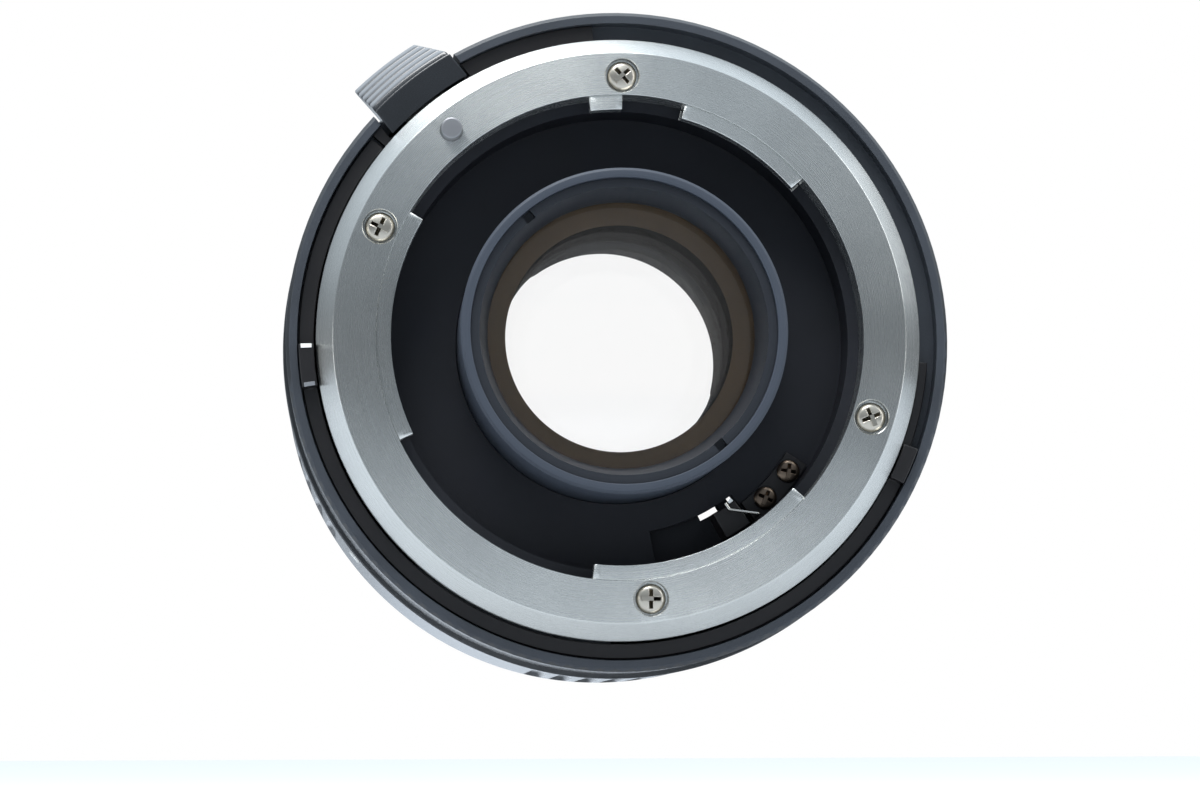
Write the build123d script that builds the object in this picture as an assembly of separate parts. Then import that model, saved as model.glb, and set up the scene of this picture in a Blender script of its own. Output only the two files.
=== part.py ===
from build123d import *
import math
import os

# A 2x teleconverter for a 44 mm three-claw bayonet, in millimetres.
# The optical axis runs along Y. The lens side faces -Y, the camera side +Y, and the
# origin is on the axis at the camera-side flange face. Angles are in degrees, counted
# from +X towards +Z as seen from the lens side. A depth is counted from the lens-side
# flange face towards the camera.

# Sizes that drive the rest
flange_distance = 51.5
throat_radius = 22.0
fit_gap = 0.03
running_gap = 0.05
moving_gap = 0.3
overrun = 1.0
edge_share = 0.3
full_turn_angle = 360.0

# Lens-side bayonet
recess_width = 1.45
recess_radius = throat_radius + recess_width
flange_face_width = 4.12
flange_face_radius = recess_radius + flange_face_width
flange_bevel_width = 1.63
flange_bevel_drop = 1.9
flange_radius = flange_face_radius + flange_bevel_width
lens_mount_thickness = 3.4
claw_drop = 0.15
claw_thickness = 1.45
claw_angles = ((149.5, 205.5), (263.1, 318.7), (41.0, 74.4), (89.4, 97.5))
lens_screw_angles = (89.5, 155.7, 276.3, 342.2)
mount_screw_inset = 1.9
mount_screw_circle_radius = recess_radius + mount_screw_inset
mount_screw_head_radius = 1.45
mount_screw_head_height = 0.9
mount_screw_shank_radius = 0.85
mount_screw_length = 5.2
counterbore_gap = 0.2
counterbore_radius = mount_screw_head_radius + counterbore_gap
cross_width = 0.4
cross_depth = 0.45
cross_reach_share = 1.25
leaf_thickness = 0.25
leaf_width = 0.95
leaf_angle = 34.0

# Outer shells, and the gap around the moving ring sector
sector_gap = 0.2
meter_ring_inner_radius = flange_radius + sector_gap
meter_ring_width = 1.45
meter_ring_outer_radius = meter_ring_inner_radius + meter_ring_width
meter_ring_thickness = 0.8
rim_gap = 0.15
rim_inner_radius = meter_ring_outer_radius + rim_gap
rim_width = 1.1
rim_radius = rim_inner_radius + rim_width
rim_depth = 2.6
ledge_drop = 1.0
ledge_depth = lens_mount_thickness + ledge_drop
ledge_thickness = 1.0
ledge_lip_width = 0.4
shell_inner_radius = rim_inner_radius - ledge_lip_width
shell_edge_width = 0.35
front_ring_length = 10.4
grip_length = 22.0
grip_wall = 1.95
grip_radius = shell_inner_radius + grip_wall
grip_land_width = 0.7
rib_count = 77
rib_height = 0.38
rib_groove_share = 0.5
smooth_start_angle = 213.5
smooth_angle = 44.0
rear_barrel_wall = 1.0
rear_barrel_radius = shell_inner_radius + rear_barrel_wall
rear_barrel_taper = 0.3
rear_barrel_end_radius = rear_barrel_radius - rear_barrel_taper
grip_start_depth = rim_depth + front_ring_length
grip_end_depth = grip_start_depth + grip_length

# Meter coupling cage
meter_ring_depth = ledge_depth - moving_gap - meter_ring_thickness
meter_ring_start_angle = 140.8
meter_ring_end_angle = 356.0
meter_tail_start_angle = 339.8
meter_tail_width = 0.85
meter_turn_angle = 50.0
follower_tab_angles = (181.4, 189.2)
follower_tab_height = 1.9
limit_tab_angles = (333.0, 339.8)
limit_tab_height = 1.3
tab_mark_width = 0.4
tab_mark_length = 1.05
tab_mark_inset = 0.2
tab_mark_height = 0.1
guide_plate_start_angle = 94.6
link_bar_angles = (165.0, 270.0)
link_bar_angle = 12.0
link_bar_thickness = 0.8
link_gap_angle = 1.5
link_screw_radius = 0.5
link_head_radius = 0.8
link_screw_length = 1.5
link_screw_circle_radius = meter_ring_inner_radius + link_bar_thickness / 2
meter_rear_length = 3.2
meter_rear_inset = 1.2
meter_rear_outer_radius = meter_ring_outer_radius + running_gap
ridge_start_angle = 196.0
ridge_angle = 46.0
ridge_height = 1.0

# Camera-side bayonet
bayonet_tube_gap = 0.2
bayonet_tube_radius = throat_radius - bayonet_tube_gap
bayonet_tube_wall = 1.45
bayonet_tube_bore_radius = bayonet_tube_radius - bayonet_tube_wall
bayonet_length = 6.5
lug_radius = recess_radius - bayonet_tube_gap
lug_drop = 1.7
lug_thickness = 1.35
lug_angles = ((41.5, 87.5), (149.0, 201.0), (269.0, 327.0))
rear_mount_thickness = 2.0
rear_face_inset = 0.6
rear_face_inner_radius = lug_radius + rear_face_inset
rear_relief_depth = 0.25
rear_screw_inset = 3.0
rear_screw_circle_radius = lug_radius + rear_screw_inset
rear_screw_angles = (20.0, 108.0, 200.0, 290.0)
rear_screw_length = 3.6
rear_pin_hole_gap = 0.2
rear_pin_hole_depth = 1.5

# Stop-down fork, aperture ring and bar, from the throat inwards
lever_turn_angle = 17.0
fork_gap = 0.1
fork_width = 2.75
fork_angles = (298.8, 306.2)
fork_outer_radius = throat_radius - fork_gap
fork_inner_radius = fork_outer_radius - fork_width
fork_depth = 4.6
lever_ring_step = 0.65
lever_sector_start_angle = 276.0
lever_window_angles = (296.2, 302.8)
lever_ring_width = 1.5
lever_ring_thickness = 2.0
lever_ring_outer_radius = fork_inner_radius - lever_ring_step
bar_angles = (286.0, 293.0)
bar_gap = 0.35
bar_width = 1.25
bar_outer_radius = bayonet_tube_bore_radius - bar_gap
bar_inner_radius = bar_outer_radius - bar_width
bar_proud_length = 4.6

# Optical tube and glass
tube_radius = lever_ring_outer_radius - lever_ring_width
tube_shoulder_height = 1.0
tube_shoulder_length = 1.5
tube_shoulder_radius = tube_radius + tube_shoulder_height
tube_waist_drop = 0.8
tube_waist_radius = tube_radius - tube_waist_drop
collar_step = 1.45
collar_radius = tube_radius - collar_step
collar_wall = 1.95
tube_bore_radius = collar_radius - collar_wall
collar_proud_length = 4.8
collar_land_width = 0.95
collar_edge_width = 0.25
retainer_drop = 0.6
retainer_land_width = 0.85
retainer_lip_height = 0.75
retainer_lip_radius = tube_bore_radius - retainer_lip_height
retainer_lip_thickness = 0.4
glass_seat_depth = -0.3
notch_width = 1.0
notch_depth = 0.9
notch_angle = 130.0
glass_land_width = 2.0
glass_clear_radius = tube_bore_radius - glass_land_width
# Each lens element: edge thickness, front bulge and rear bulge, hollow where negative
element_sizes = ((1.8, 0.5, -0.7), (1.6, -0.4, -0.5), (3.0, 0.8, 0.9), (1.5, -0.5, -0.6), (3.0, 0.7, 0.7))
# Each spacer between two elements: its length and its wall
spacer_sizes = ((4.4, 2.6), (3.9, 1.8), (4.0, 1.8), (3.6, 1.7))
rear_retainer_length = 4.5
rear_retainer_lip_height = 1.6
rear_retainer_lip_radius = tube_bore_radius - rear_retainer_lip_height
glass_end_depth = (glass_seat_depth + sum(size[0] for size in element_sizes)
                   + sum(size[0] for size in spacer_sizes))
septum_inset = 2.5
septum_depth = glass_end_depth + septum_inset
septum_thickness = 2.0
septum_slot_end_angle = 316.0
lock_ring_thickness = 1.2
lock_ring_width = 1.2
tube_end_length = 0.8
tube_end_depth = septum_depth + septum_thickness + lock_ring_thickness + tube_end_length
light_tube_wall = 0.6
light_tube_end_gap = 0.8
light_groove_pitch = 2.4
light_groove_depth = 0.2

# Front and rear housing
housing_step_drop = 0.2
housing_step_radius = flange_radius - housing_step_drop
housing_radius = housing_step_radius - housing_step_drop
housing_wall = 2.0
carrier_radius = housing_radius - housing_wall / 2 - fit_gap
housing_flange_radius = shell_inner_radius - running_gap
housing_flange_thickness = 1.0
socket_gap = 0.4
socket_radius = throat_radius + socket_gap
socket_depth = 8.0
spigot_length = 2.0
spigot_wall = 1.4
rear_plate_thickness = 2.0
rear_mount_gap = 0.1
rear_mount_radius = housing_radius - rear_mount_gap
ring_groove_length = 2.6
ring_groove_depth = 0.6
rear_flange_thickness = 2.4
set_screw_place_share = 0.66
set_screw_angles = (10.0, 100.0, 249.0)
set_screw_radius = 0.7
set_screw_length = 2.0
index_angle = 218.8
index_bead_radius = 0.75
index_bead_height = 0.35

# Lock pin and release slide
pin_angle = 129.4
pin_inset = 2.2
pin_circle_radius = recess_radius + pin_inset
pin_radius = 1.05
pin_proud_length = 1.3
release_angle = 128.8
release_stroke_length = 1.8
button_width = 9.2
button_back_width = 7.4
button_base_radius = meter_ring_inner_radius + running_gap
button_front_rise = 0.2
button_front_radius = rim_radius + button_front_rise
button_rear_rise = 3.4
button_rear_radius = grip_radius + button_rear_rise
button_depth = rim_depth - moving_gap
button_length = 11.0
button_foot_length = 5.8
button_corner_radius = 1.6
button_rib_count = 5
button_rib_height = 0.32
button_rib_margin = 0.5
notch_gap = 0.35
arm_gap = 0.2
arm_thickness = 0.8
arm_angle = 9.0
arm_margin = 0.3
arm_inner_radius = pin_circle_radius - pin_radius - arm_margin
arm_depth = ledge_depth + ledge_thickness + housing_flange_thickness + arm_gap
release_spring_inset = 0.65
release_spring_circle_radius = pin_circle_radius - release_spring_inset
release_spring_radius = 0.62
release_spring_wire_radius = 0.11
release_spring_turns = 6
release_spring_length = 4.6
spring_seat_depth = arm_depth + arm_thickness + release_spring_length
spring_seat_thickness = 1.0

# Socket floor, bracket and wire
floor_thickness = 1.0
floor_rim_width = 1.6
floor_rim_radius = socket_radius + floor_rim_width
lever_ring_depth = socket_depth + floor_thickness + moving_gap
slot_gap = 0.2
slot_inner_radius = lever_ring_outer_radius + fork_gap
slot_outer_radius = fork_outer_radius + slot_gap
slot_play_angle = 1.5
bracket_angles = (308.3, 327.9)
bracket_width = 2.4
bracket_outer_radius = slot_outer_radius + fork_gap
bracket_inner_radius = bracket_outer_radius - bracket_width
bracket_thickness = 0.6
bracket_screw_circle_radius = (bracket_inner_radius + bracket_outer_radius) / 2
bracket_screw_angles = (314.2, 323.7)
small_head_radius = 1.12
small_head_height = 0.55
small_shank_radius = 0.6
small_screw_length = 1.9
spring_wire_radius = 0.16
spring_rise_inset = 0.5
spring_rise_radius = bracket_outer_radius - spring_rise_inset
spring_rise_gap = 0.6
spring_rise_clearance = small_head_radius + spring_wire_radius + spring_rise_gap
spring_rise_angle = bracket_screw_angles[0] - math.degrees(spring_rise_clearance / spring_rise_radius)
spring_hook_angle = 303.3
spring_hook_inset = 2.6
spring_hook_radius = bracket_outer_radius - spring_hook_inset
spring_hook_length = 0.7

# Places along the axis
lens_face_y = -flange_distance
socket_floor_y = lens_face_y + socket_depth
claw_back_depth = claw_drop + claw_thickness
rear_plate_y = -rear_mount_thickness
shell_end_y = -meter_rear_inset - meter_rear_length - moving_gap


def depth(distance):
    """A place on the axis, given as a distance behind the lens-side flange face."""
    return lens_face_y + distance


def lathe(points, start=0.0, arc=full_turn_angle):
    """Turn a closed half profile of (radius, y) points about the optical axis."""
    face = make_face(Polyline(*points, close=True))
    solid = revolve(face, Axis((0, 0, 0), (0, -1, 0)), revolution_arc=arc)
    return Rot(0, -start, 0) * solid


def band(inner, outer, y_front, y_back, start=0.0, end=full_turn_angle):
    """A plain ring, or a sector of one, between two radii and two places on the axis."""
    corners = [(inner, y_front), (outer, y_front), (outer, y_back), (inner, y_back)]
    return lathe(corners, start, end - start)


def disc(radius, y_front, y_back):
    """A plain round bar on the axis."""
    return band(0, radius, y_front, y_back)


def place(solid, radius, angle, y=0.0):
    """Move a solid from the axis out to a radius and an angle, turned to face outwards."""
    return Rot(0, -angle, 0) * Pos(radius, y, 0) * solid


def polar_group(solid, radius, angles, y=0.0):
    """Copies of a solid at several angles, as one group of separate solids."""
    return Compound(children=[Compound([place(solid, radius, angle, y)]) for angle in angles])


def screw(head_radius, head_height, shank_radius, length):
    """A cross-head screw that faces the lens side, with the top of its head at y = 0."""
    edge = head_height * edge_share
    points = [
        (0, 0),
        (head_radius - edge, 0),
        (head_radius, edge),
        (head_radius, head_height),
        (shank_radius, head_height),
        (shank_radius, length),
        (0, length),
    ]
    body = lathe(points)
    reach = head_radius * cross_reach_share
    slot = Box(reach, cross_depth * 2, cross_width) + Box(cross_width, cross_depth * 2, reach)
    return body - slot


def drill(solid, cutter, radius, angles):
    """Cut the same cutter out of a solid at several angles on one circle."""
    for angle in angles:
        solid = solid - place(cutter, radius, angle)
    return solid


def counterbored(head_radius, head_height, shank_radius, length):
    """A cutter for a screw that faces the lens side, with its head below y = 0."""
    head = disc(head_radius, -overrun, head_height)
    return head + disc(shank_radius, 0, length)


def lens_mount():
    """The stainless female bayonet: flange, polished bevel and three claws."""
    back = depth(lens_mount_thickness)
    body = lathe([
        (recess_radius, lens_face_y),
        (flange_face_radius, lens_face_y),
        (flange_radius, depth(flange_bevel_drop)),
        (flange_radius, back),
        (recess_radius, back),
    ])
    for start, end in claw_angles:
        body = body + band(throat_radius, recess_radius + running_gap, depth(claw_drop),
                           depth(claw_back_depth), start, end)
    hole = counterbored(counterbore_radius, mount_screw_head_height + claw_drop,
                        mount_screw_shank_radius + running_gap, lens_mount_thickness + overrun)
    body = drill(body, Pos(0, lens_face_y, 0) * hole, mount_screw_circle_radius, lens_screw_angles)
    pin_hole = disc(pin_radius + running_gap, lens_face_y - overrun, back + overrun)
    return body - place(pin_hole, pin_circle_radius, pin_angle)


def lens_mount_screws():
    """Four nickel screws, their heads just below the flange face."""
    one = screw(mount_screw_head_radius, mount_screw_head_height, mount_screw_shank_radius,
                mount_screw_length)
    return polar_group(one, mount_screw_circle_radius, lens_screw_angles, depth(claw_drop))


def bayonet_leaf_springs():
    """Three leaf springs on the frame behind the claws, which press the lens forwards."""
    outer = recess_radius - running_gap * 2
    y_back = depth(lens_mount_thickness)
    leaves = []
    for start, end in (claw_angles[0], claw_angles[1], claw_angles[2]):
        middle = (start + end) / 2
        leaf = band(outer - leaf_width, outer, y_back - leaf_thickness, y_back,
                    middle - leaf_angle / 2, middle + leaf_angle / 2)
        leaves.append(leaf)
    return Compound(children=[Compound([leaf]) for leaf in leaves])


def lock_pin_y():
    """Where the tip of the lock pin stands at rest."""
    return lens_face_y - pin_proud_length


def lock_pin():
    """The round-tipped pin that holds the lens, from its tip to the release arm."""
    tip_edge = pin_radius * edge_share
    points = [
        (0, lock_pin_y()),
        (pin_radius - tip_edge, lock_pin_y()),
        (pin_radius, lock_pin_y() + tip_edge),
        (pin_radius, depth(arm_depth)),
        (0, depth(arm_depth)),
    ]
    return place(lathe(points), pin_circle_radius, pin_angle)


def arc_cutter(inner, outer, y_front, y_back, start, end):
    """A curved slot cutter with an overrun along the axis at both ends."""
    return band(inner, outer, y_front - overrun, y_back + overrun, start, end)


def cut_link_slots(solid, y_front, y_back, inner=meter_ring_inner_radius - moving_gap,
                   outer=housing_flange_radius + overrun):
    """Cut the two arc notches in which the link bars of the meter cage travel."""
    for start in link_bar_angles:
        end = start + link_bar_angle + meter_turn_angle + link_gap_angle
        solid = solid - arc_cutter(inner, outer, y_front, y_back, start - link_gap_angle, end)
    return solid


def radial_bar(radius, inner, outer):
    """A round bar that points outwards along +X, between two distances from the axis."""
    return Pos((inner + outer) / 2, 0, 0) * Rot(0, 90, 0) * Cylinder(radius, outer - inner)


def set_screw_y():
    """Where the set screws of the rear barrel stand on the axis."""
    barrel_y = depth(grip_end_depth)
    return barrel_y + (shell_end_y - barrel_y) * set_screw_place_share


def release_window():
    """The cutter for the window in the frame that the release arm crosses."""
    front = depth(arm_depth) - moving_gap
    back = depth(arm_depth + arm_thickness + release_stroke_length) + moving_gap
    half = arm_angle / 2 + math.degrees(moving_gap / arm_inner_radius)
    return band(arm_inner_radius - moving_gap, housing_flange_radius + overrun, front, back,
                release_angle - half, release_angle + half)


def front_housing():
    """The cast front half: socket wall, tube, shell flange and the release's spring seat."""
    tube_inner = housing_radius - housing_wall
    flange_y = depth(ledge_depth + ledge_thickness)
    body = lathe([
        (socket_radius, depth(lens_mount_thickness)),
        (housing_step_radius, depth(lens_mount_thickness)),
        (housing_step_radius, flange_y),
        (housing_flange_radius, flange_y),
        (housing_flange_radius, flange_y + housing_flange_thickness),
        (housing_radius, flange_y + housing_flange_thickness),
        (housing_radius, depth(septum_depth)),
        (tube_inner, depth(septum_depth)),
        (tube_inner, socket_floor_y),
        (socket_radius, socket_floor_y),
    ])
    body = cut_link_slots(body, flange_y, flange_y + housing_flange_thickness)
    thread = disc(mount_screw_shank_radius, lens_face_y, depth(claw_drop + mount_screw_length))
    body = drill(body, thread, mount_screw_circle_radius, lens_screw_angles)
    pin_hole = disc(pin_radius + running_gap, lens_face_y, socket_floor_y)
    body = body - place(pin_hole, pin_circle_radius, pin_angle)
    body = body - release_window() - release_notch()
    seat_y = depth(spring_seat_depth)
    seat = band(arm_inner_radius - moving_gap, tube_inner + running_gap, seat_y,
                seat_y + spring_seat_thickness, release_angle - arm_angle / 2,
                release_angle + arm_angle / 2)
    return body + seat


def tube_carrier():
    """The ring that holds the optical tube, clamped between the two halves of the housing."""
    spigot_outer = housing_radius - housing_wall - fit_gap
    septum_y = depth(septum_depth)
    septum_back = septum_y + septum_thickness
    body = lathe([
        (spigot_outer - spigot_wall, septum_y - spigot_length),
        (spigot_outer, septum_y - spigot_length),
        (spigot_outer, septum_y),
        (carrier_radius, septum_y),
        (carrier_radius, septum_back),
        (tube_radius + fit_gap, septum_back),
        (tube_radius + fit_gap, septum_y),
        (spigot_outer - spigot_wall, septum_y),
    ])
    bar_start = bar_angles[0] - lever_turn_angle - slot_play_angle
    return body - arc_cutter(bar_inner_radius - moving_gap, bar_outer_radius + moving_gap * 2,
                             septum_y, septum_back, bar_start, septum_slot_end_angle)


def rear_housing():
    """The cast rear half: a socket over the carrier, flange for the rear barrel and mount plate."""
    tube_inner = housing_radius - housing_wall
    flange_y = set_screw_y() - rear_flange_thickness / 2
    septum_y = depth(septum_depth)
    groove_y = rear_plate_y - ring_groove_length
    body = lathe([
        (carrier_radius + fit_gap, septum_y),
        (housing_radius, septum_y),
        (housing_radius, flange_y),
        (housing_flange_radius, flange_y),
        (housing_flange_radius, flange_y + rear_flange_thickness),
        (housing_radius, flange_y + rear_flange_thickness),
        (housing_radius, groove_y),
        (housing_radius - ring_groove_depth, groove_y),
        (housing_radius - ring_groove_depth, rear_plate_y),
        (bayonet_tube_radius, rear_plate_y),
        (bayonet_tube_radius, rear_plate_y - rear_plate_thickness),
        (tube_inner, rear_plate_y - rear_plate_thickness),
        (tube_inner, septum_y + septum_thickness),
        (carrier_radius + fit_gap, septum_y + septum_thickness),
    ])
    body = cut_link_slots(body, flange_y, flange_y + rear_flange_thickness)
    thread = disc(mount_screw_shank_radius, rear_plate_y - rear_plate_thickness, 0)
    body = drill(body, thread, rear_screw_circle_radius, rear_screw_angles)
    set_hole = radial_bar(set_screw_radius, housing_radius, housing_flange_radius + overrun)
    return drill(body, Pos(0, set_screw_y(), 0) * set_hole, 0, set_screw_angles)


def front_ring():
    """The matte black ring around the mount, with its ledge and the notch for the release."""
    back = depth(grip_start_depth)
    ledge_y = depth(ledge_depth)
    ledge_back = depth(ledge_depth + ledge_thickness)
    body = lathe([
        (rim_inner_radius, depth(rim_depth)),
        (rim_radius - shell_edge_width, depth(rim_depth)),
        (rim_radius, depth(rim_depth) + shell_edge_width),
        (rim_radius, back),
        (shell_inner_radius, back),
        (shell_inner_radius, ledge_back),
        (housing_step_radius + running_gap, ledge_back),
        (housing_step_radius + running_gap, ledge_y),
        (rim_inner_radius, ledge_y),
    ])
    body = cut_link_slots(body, ledge_y, ledge_back, inner=housing_radius,
                          outer=meter_ring_inner_radius + link_bar_thickness + moving_gap)
    return body - release_notch()


def release_notch():
    """The cutter for the notch in which the foot of the release slide travels."""
    width = button_width + notch_gap * 2
    y_front = depth(rim_depth) - overrun
    y_back = depth(button_depth + button_foot_length + release_stroke_length) + notch_gap
    inner = housing_step_radius + running_gap * 2
    reach = button_rear_radius - inner
    box = Box(reach, y_back - y_front, width)
    return place(Pos(reach / 2, (y_front + y_back) / 2, 0) * box, inner, release_angle)


def release_button():
    """The ribbed slide: a foot in the notch and a cap that climbs over the barrel."""
    front = depth(button_depth)
    foot_back = front + button_foot_length
    back = front + button_length
    cap_radius = grip_radius + moving_gap
    rib_front = front + button_rib_margin
    rib_back = back - button_corner_radius
    slope = (button_rear_radius - button_front_radius) / (rib_back - rib_front)
    pitch = (rib_back - rib_front) / button_rib_count
    with BuildSketch(Plane.XY) as side:
        with BuildLine():
            Polyline((button_front_radius, rib_front), (button_front_radius, front),
                     (button_base_radius, front), (button_base_radius, foot_back),
                     (cap_radius, foot_back), (cap_radius, back),
                     (button_rear_radius - button_corner_radius / 2, back), (button_rear_radius, rib_back))
            for index in range(button_rib_count):
                y_start = rib_front + pitch * index
                y_middle = y_start + pitch / 2
                y_end = y_start + pitch
                ThreePointArc(
                    (button_front_radius + slope * (y_start - rib_front), y_start),
                    (button_front_radius + slope * (y_middle - rib_front) + button_rib_height, y_middle),
                    (button_front_radius + slope * (y_end - rib_front), y_end),
                )
        make_face()
    arc = math.degrees(button_width / button_base_radius) + arm_angle
    body = revolve(side.sketch, Axis((0, 0, 0), (0, -1, 0)), revolution_arc=arc)
    body = Rot(0, arc / 2, 0) * body
    with BuildSketch(Plane.YZ) as plan:
        with BuildLine():
            Polyline((front, -button_width / 2), (back, -button_back_width / 2),
                     (back, button_back_width / 2), (front, button_width / 2), close=True)
        make_face()
        rear = plan.vertices().group_by(Axis.Y)[-1]
        fillet(rear, button_corner_radius)
    body = body & extrude(plan.sketch, button_rear_radius + overrun)
    return place(body, 0, release_angle)


def release_arm():
    """The flat arm that carries the slide's motion inwards to the lock pin."""
    front = depth(arm_depth)
    return band(arm_inner_radius, button_base_radius, front, front + arm_thickness,
                release_angle - arm_angle / 2, release_angle + arm_angle / 2)


def coil(radius, wire_radius, turns, length):
    """A helical spring along +Y from the origin, with its wire wholly inside the length."""
    rise = length - wire_radius * 2
    path = Helix(pitch=rise / turns, height=rise, radius=radius)
    section = Plane(origin=path @ 0, z_dir=path % 0) * Circle(wire_radius)
    wire = sweep(section, path=path, is_frenet=True)
    return Pos(0, wire_radius, 0) * Rot(-90, 0, 0) * wire


def release_spring():
    """The compression spring that pushes the release arm back to the lens side."""
    start = depth(arm_depth + arm_thickness)
    length = depth(spring_seat_depth) - start
    one = coil(release_spring_radius, release_spring_wire_radius, release_spring_turns, length)
    return place(one, release_spring_circle_radius, release_angle, start)


def guide_plates():
    """Two fixed brown plates on the ledge, on both sides of the release notch."""
    front = depth(meter_ring_depth)
    gap_angle = math.degrees(moving_gap / meter_ring_inner_radius)
    body = band(flange_radius + running_gap, rim_inner_radius - running_gap, front, depth(ledge_depth),
                guide_plate_start_angle, meter_ring_start_angle - gap_angle)
    return body - release_notch()


def grip_ring():
    """The ribbed middle ring, with a smooth sector that faces up in use."""
    front = depth(grip_start_depth)
    back = depth(grip_end_depth)
    body = band(shell_inner_radius, grip_radius, front, back)
    pitch = full_turn_angle / rib_count
    groove_radius = math.radians(pitch) * grip_radius * rib_groove_share
    cutter_centre = grip_radius - rib_height + groove_radius
    cutter = Rot(90, 0, 0) * Cylinder(groove_radius, grip_length - grip_land_width * 2)
    cutter = Pos(0, (front + back) / 2, 0) * cutter
    grooves = []
    for index in range(rib_count):
        angle = smooth_start_angle - pitch * (index + 0.5)
        if angle > smooth_start_angle + smooth_angle - full_turn_angle:
            grooves.append(place(cutter, cutter_centre, angle))
    body = body - grooves
    bead_hole = radial_bar(index_bead_radius, grip_radius - index_bead_height, grip_radius + overrun)
    return body - place(Pos(0, front_bead_y(), 0) * bead_hole, 0, index_angle)


def front_bead_y():
    """Where the index bead for the lens stands on the axis."""
    return depth(grip_start_depth) + index_bead_radius * 3


def rear_bead_y():
    """Where the index bead for the camera stands on the axis."""
    return shell_end_y - index_bead_radius * 2


def rear_barrel():
    """The plain rear ring, slightly tapered towards the camera."""
    front = depth(grip_end_depth)
    body = lathe([
        (shell_inner_radius, front),
        (rear_barrel_radius, front),
        (rear_barrel_end_radius, shell_end_y - shell_edge_width),
        (rear_barrel_end_radius - shell_edge_width, shell_end_y),
        (shell_inner_radius, shell_end_y),
    ])
    set_hole = radial_bar(set_screw_radius, housing_radius, rear_barrel_radius + overrun)
    body = drill(body, Pos(0, set_screw_y(), 0) * set_hole, 0, set_screw_angles)
    bead_floor = rear_barrel_end_radius - index_bead_height
    bead_hole = radial_bar(index_bead_radius, bead_floor, rear_barrel_radius + overrun)
    return body - place(Pos(0, rear_bead_y(), 0) * bead_hole, 0, index_angle)


def barrel_set_screws():
    """Three slotted set screws that pin the rear barrel to the frame."""
    inner = rear_barrel_end_radius - running_gap - set_screw_length
    one = radial_bar(set_screw_radius, inner, inner + set_screw_length)
    slot = Box(cross_depth, cross_width, set_screw_radius * 2)
    one = one - Pos(inner + set_screw_length, 0, 0) * slot
    return polar_group(Pos(0, set_screw_y(), 0) * one, 0, set_screw_angles)


def index_beads():
    """Two round beads in the barrel that line up the lens and the camera."""
    places = ((grip_radius, front_bead_y()), (rear_barrel_end_radius, rear_bead_y()))
    beads = []
    for radius, y in places:
        bead = radial_bar(index_bead_radius, radius - index_bead_height, radius + index_bead_height / 2)
        beads.append(place(Pos(0, y, 0) * bead, 0, index_angle))
    return Compound(children=[Compound([bead]) for bead in beads])


def meter_ring_front():
    """The brown-black sector around the mount, with the two tabs that a lens pushes."""
    front = depth(meter_ring_depth)
    back = front + meter_ring_thickness
    body = band(meter_ring_inner_radius, meter_ring_outer_radius, front, back,
                meter_ring_start_angle, meter_tail_start_angle)
    body = body + band(meter_ring_inner_radius, meter_ring_inner_radius + meter_tail_width, front, back,
                       meter_tail_start_angle, meter_ring_end_angle)
    for angles, height in ((follower_tab_angles, follower_tab_height), (limit_tab_angles, limit_tab_height)):
        body = body + band(meter_ring_inner_radius, meter_ring_outer_radius, front - height, front, *angles)
    return body


def meter_tab_marks():
    """The two painted bars across the ends of the follower tab."""
    front = depth(meter_ring_depth) - follower_tab_height
    outer = meter_ring_outer_radius - tab_mark_inset
    width = math.degrees(tab_mark_width / meter_ring_outer_radius)
    bars = []
    for start in (follower_tab_angles[0], follower_tab_angles[1] - width):
        bars.append(band(outer - tab_mark_length, outer, front - tab_mark_height, front,
                         start, start + width))
    return Compound(children=[Compound([bar]) for bar in bars])


def meter_rear_front_y():
    """The front face of the rear meter ring."""
    return -meter_rear_inset - meter_rear_length


def meter_link_bars():
    """Two curved bars that carry the turn of the front sector to the rear ring."""
    front = depth(meter_ring_depth) + meter_ring_thickness
    outer = meter_ring_inner_radius + link_bar_thickness
    bars = []
    for start in link_bar_angles:
        bar = band(meter_ring_inner_radius, outer, front, meter_rear_front_y(), start, start + link_bar_angle)
        hole = disc(link_screw_radius, meter_rear_front_y() - link_screw_length, 0)
        bars.append(bar - place(hole, link_screw_circle_radius, start + link_bar_angle / 2))
    return Compound(children=[Compound([bar]) for bar in bars])


def meter_ring_rear():
    """The rear ring that turns on the frame, with the ridge that pushes the camera's follower."""
    front = meter_rear_front_y()
    back = -meter_rear_inset
    rib_back = rear_plate_y - running_gap * 2
    body = lathe([
        (housing_radius - ring_groove_depth + running_gap, front),
        (meter_rear_outer_radius, front),
        (meter_rear_outer_radius, back),
        (housing_radius + running_gap, back),
        (housing_radius + running_gap, rib_back),
        (housing_radius - ring_groove_depth + running_gap, rib_back),
    ])
    inner = housing_step_radius + moving_gap
    body = body + band(inner, meter_rear_outer_radius, back, back + ridge_height, ridge_start_angle,
                       ridge_start_angle + ridge_angle)
    hole = counterbored(link_head_radius, link_screw_length / 2, link_screw_radius,
                        meter_rear_length + overrun)
    hole = Pos(0, back, 0) * Rot(180, 0, 0) * hole
    angles = [start + link_bar_angle / 2 for start in link_bar_angles]
    return drill(body, hole, link_screw_circle_radius, angles)


def meter_link_screws():
    """Two small screws that join the rear ring to its link bars."""
    length = meter_rear_length + link_screw_length - running_gap * 4
    one = screw(link_head_radius - running_gap, link_screw_length / 2 - running_gap * 2,
                link_screw_radius, length)
    one = Pos(0, -running_gap * 2, 0) * Rot(180, 0, 0) * one
    angles = [start + link_bar_angle / 2 for start in link_bar_angles]
    return polar_group(one, link_screw_circle_radius, angles, -meter_rear_inset)


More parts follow.
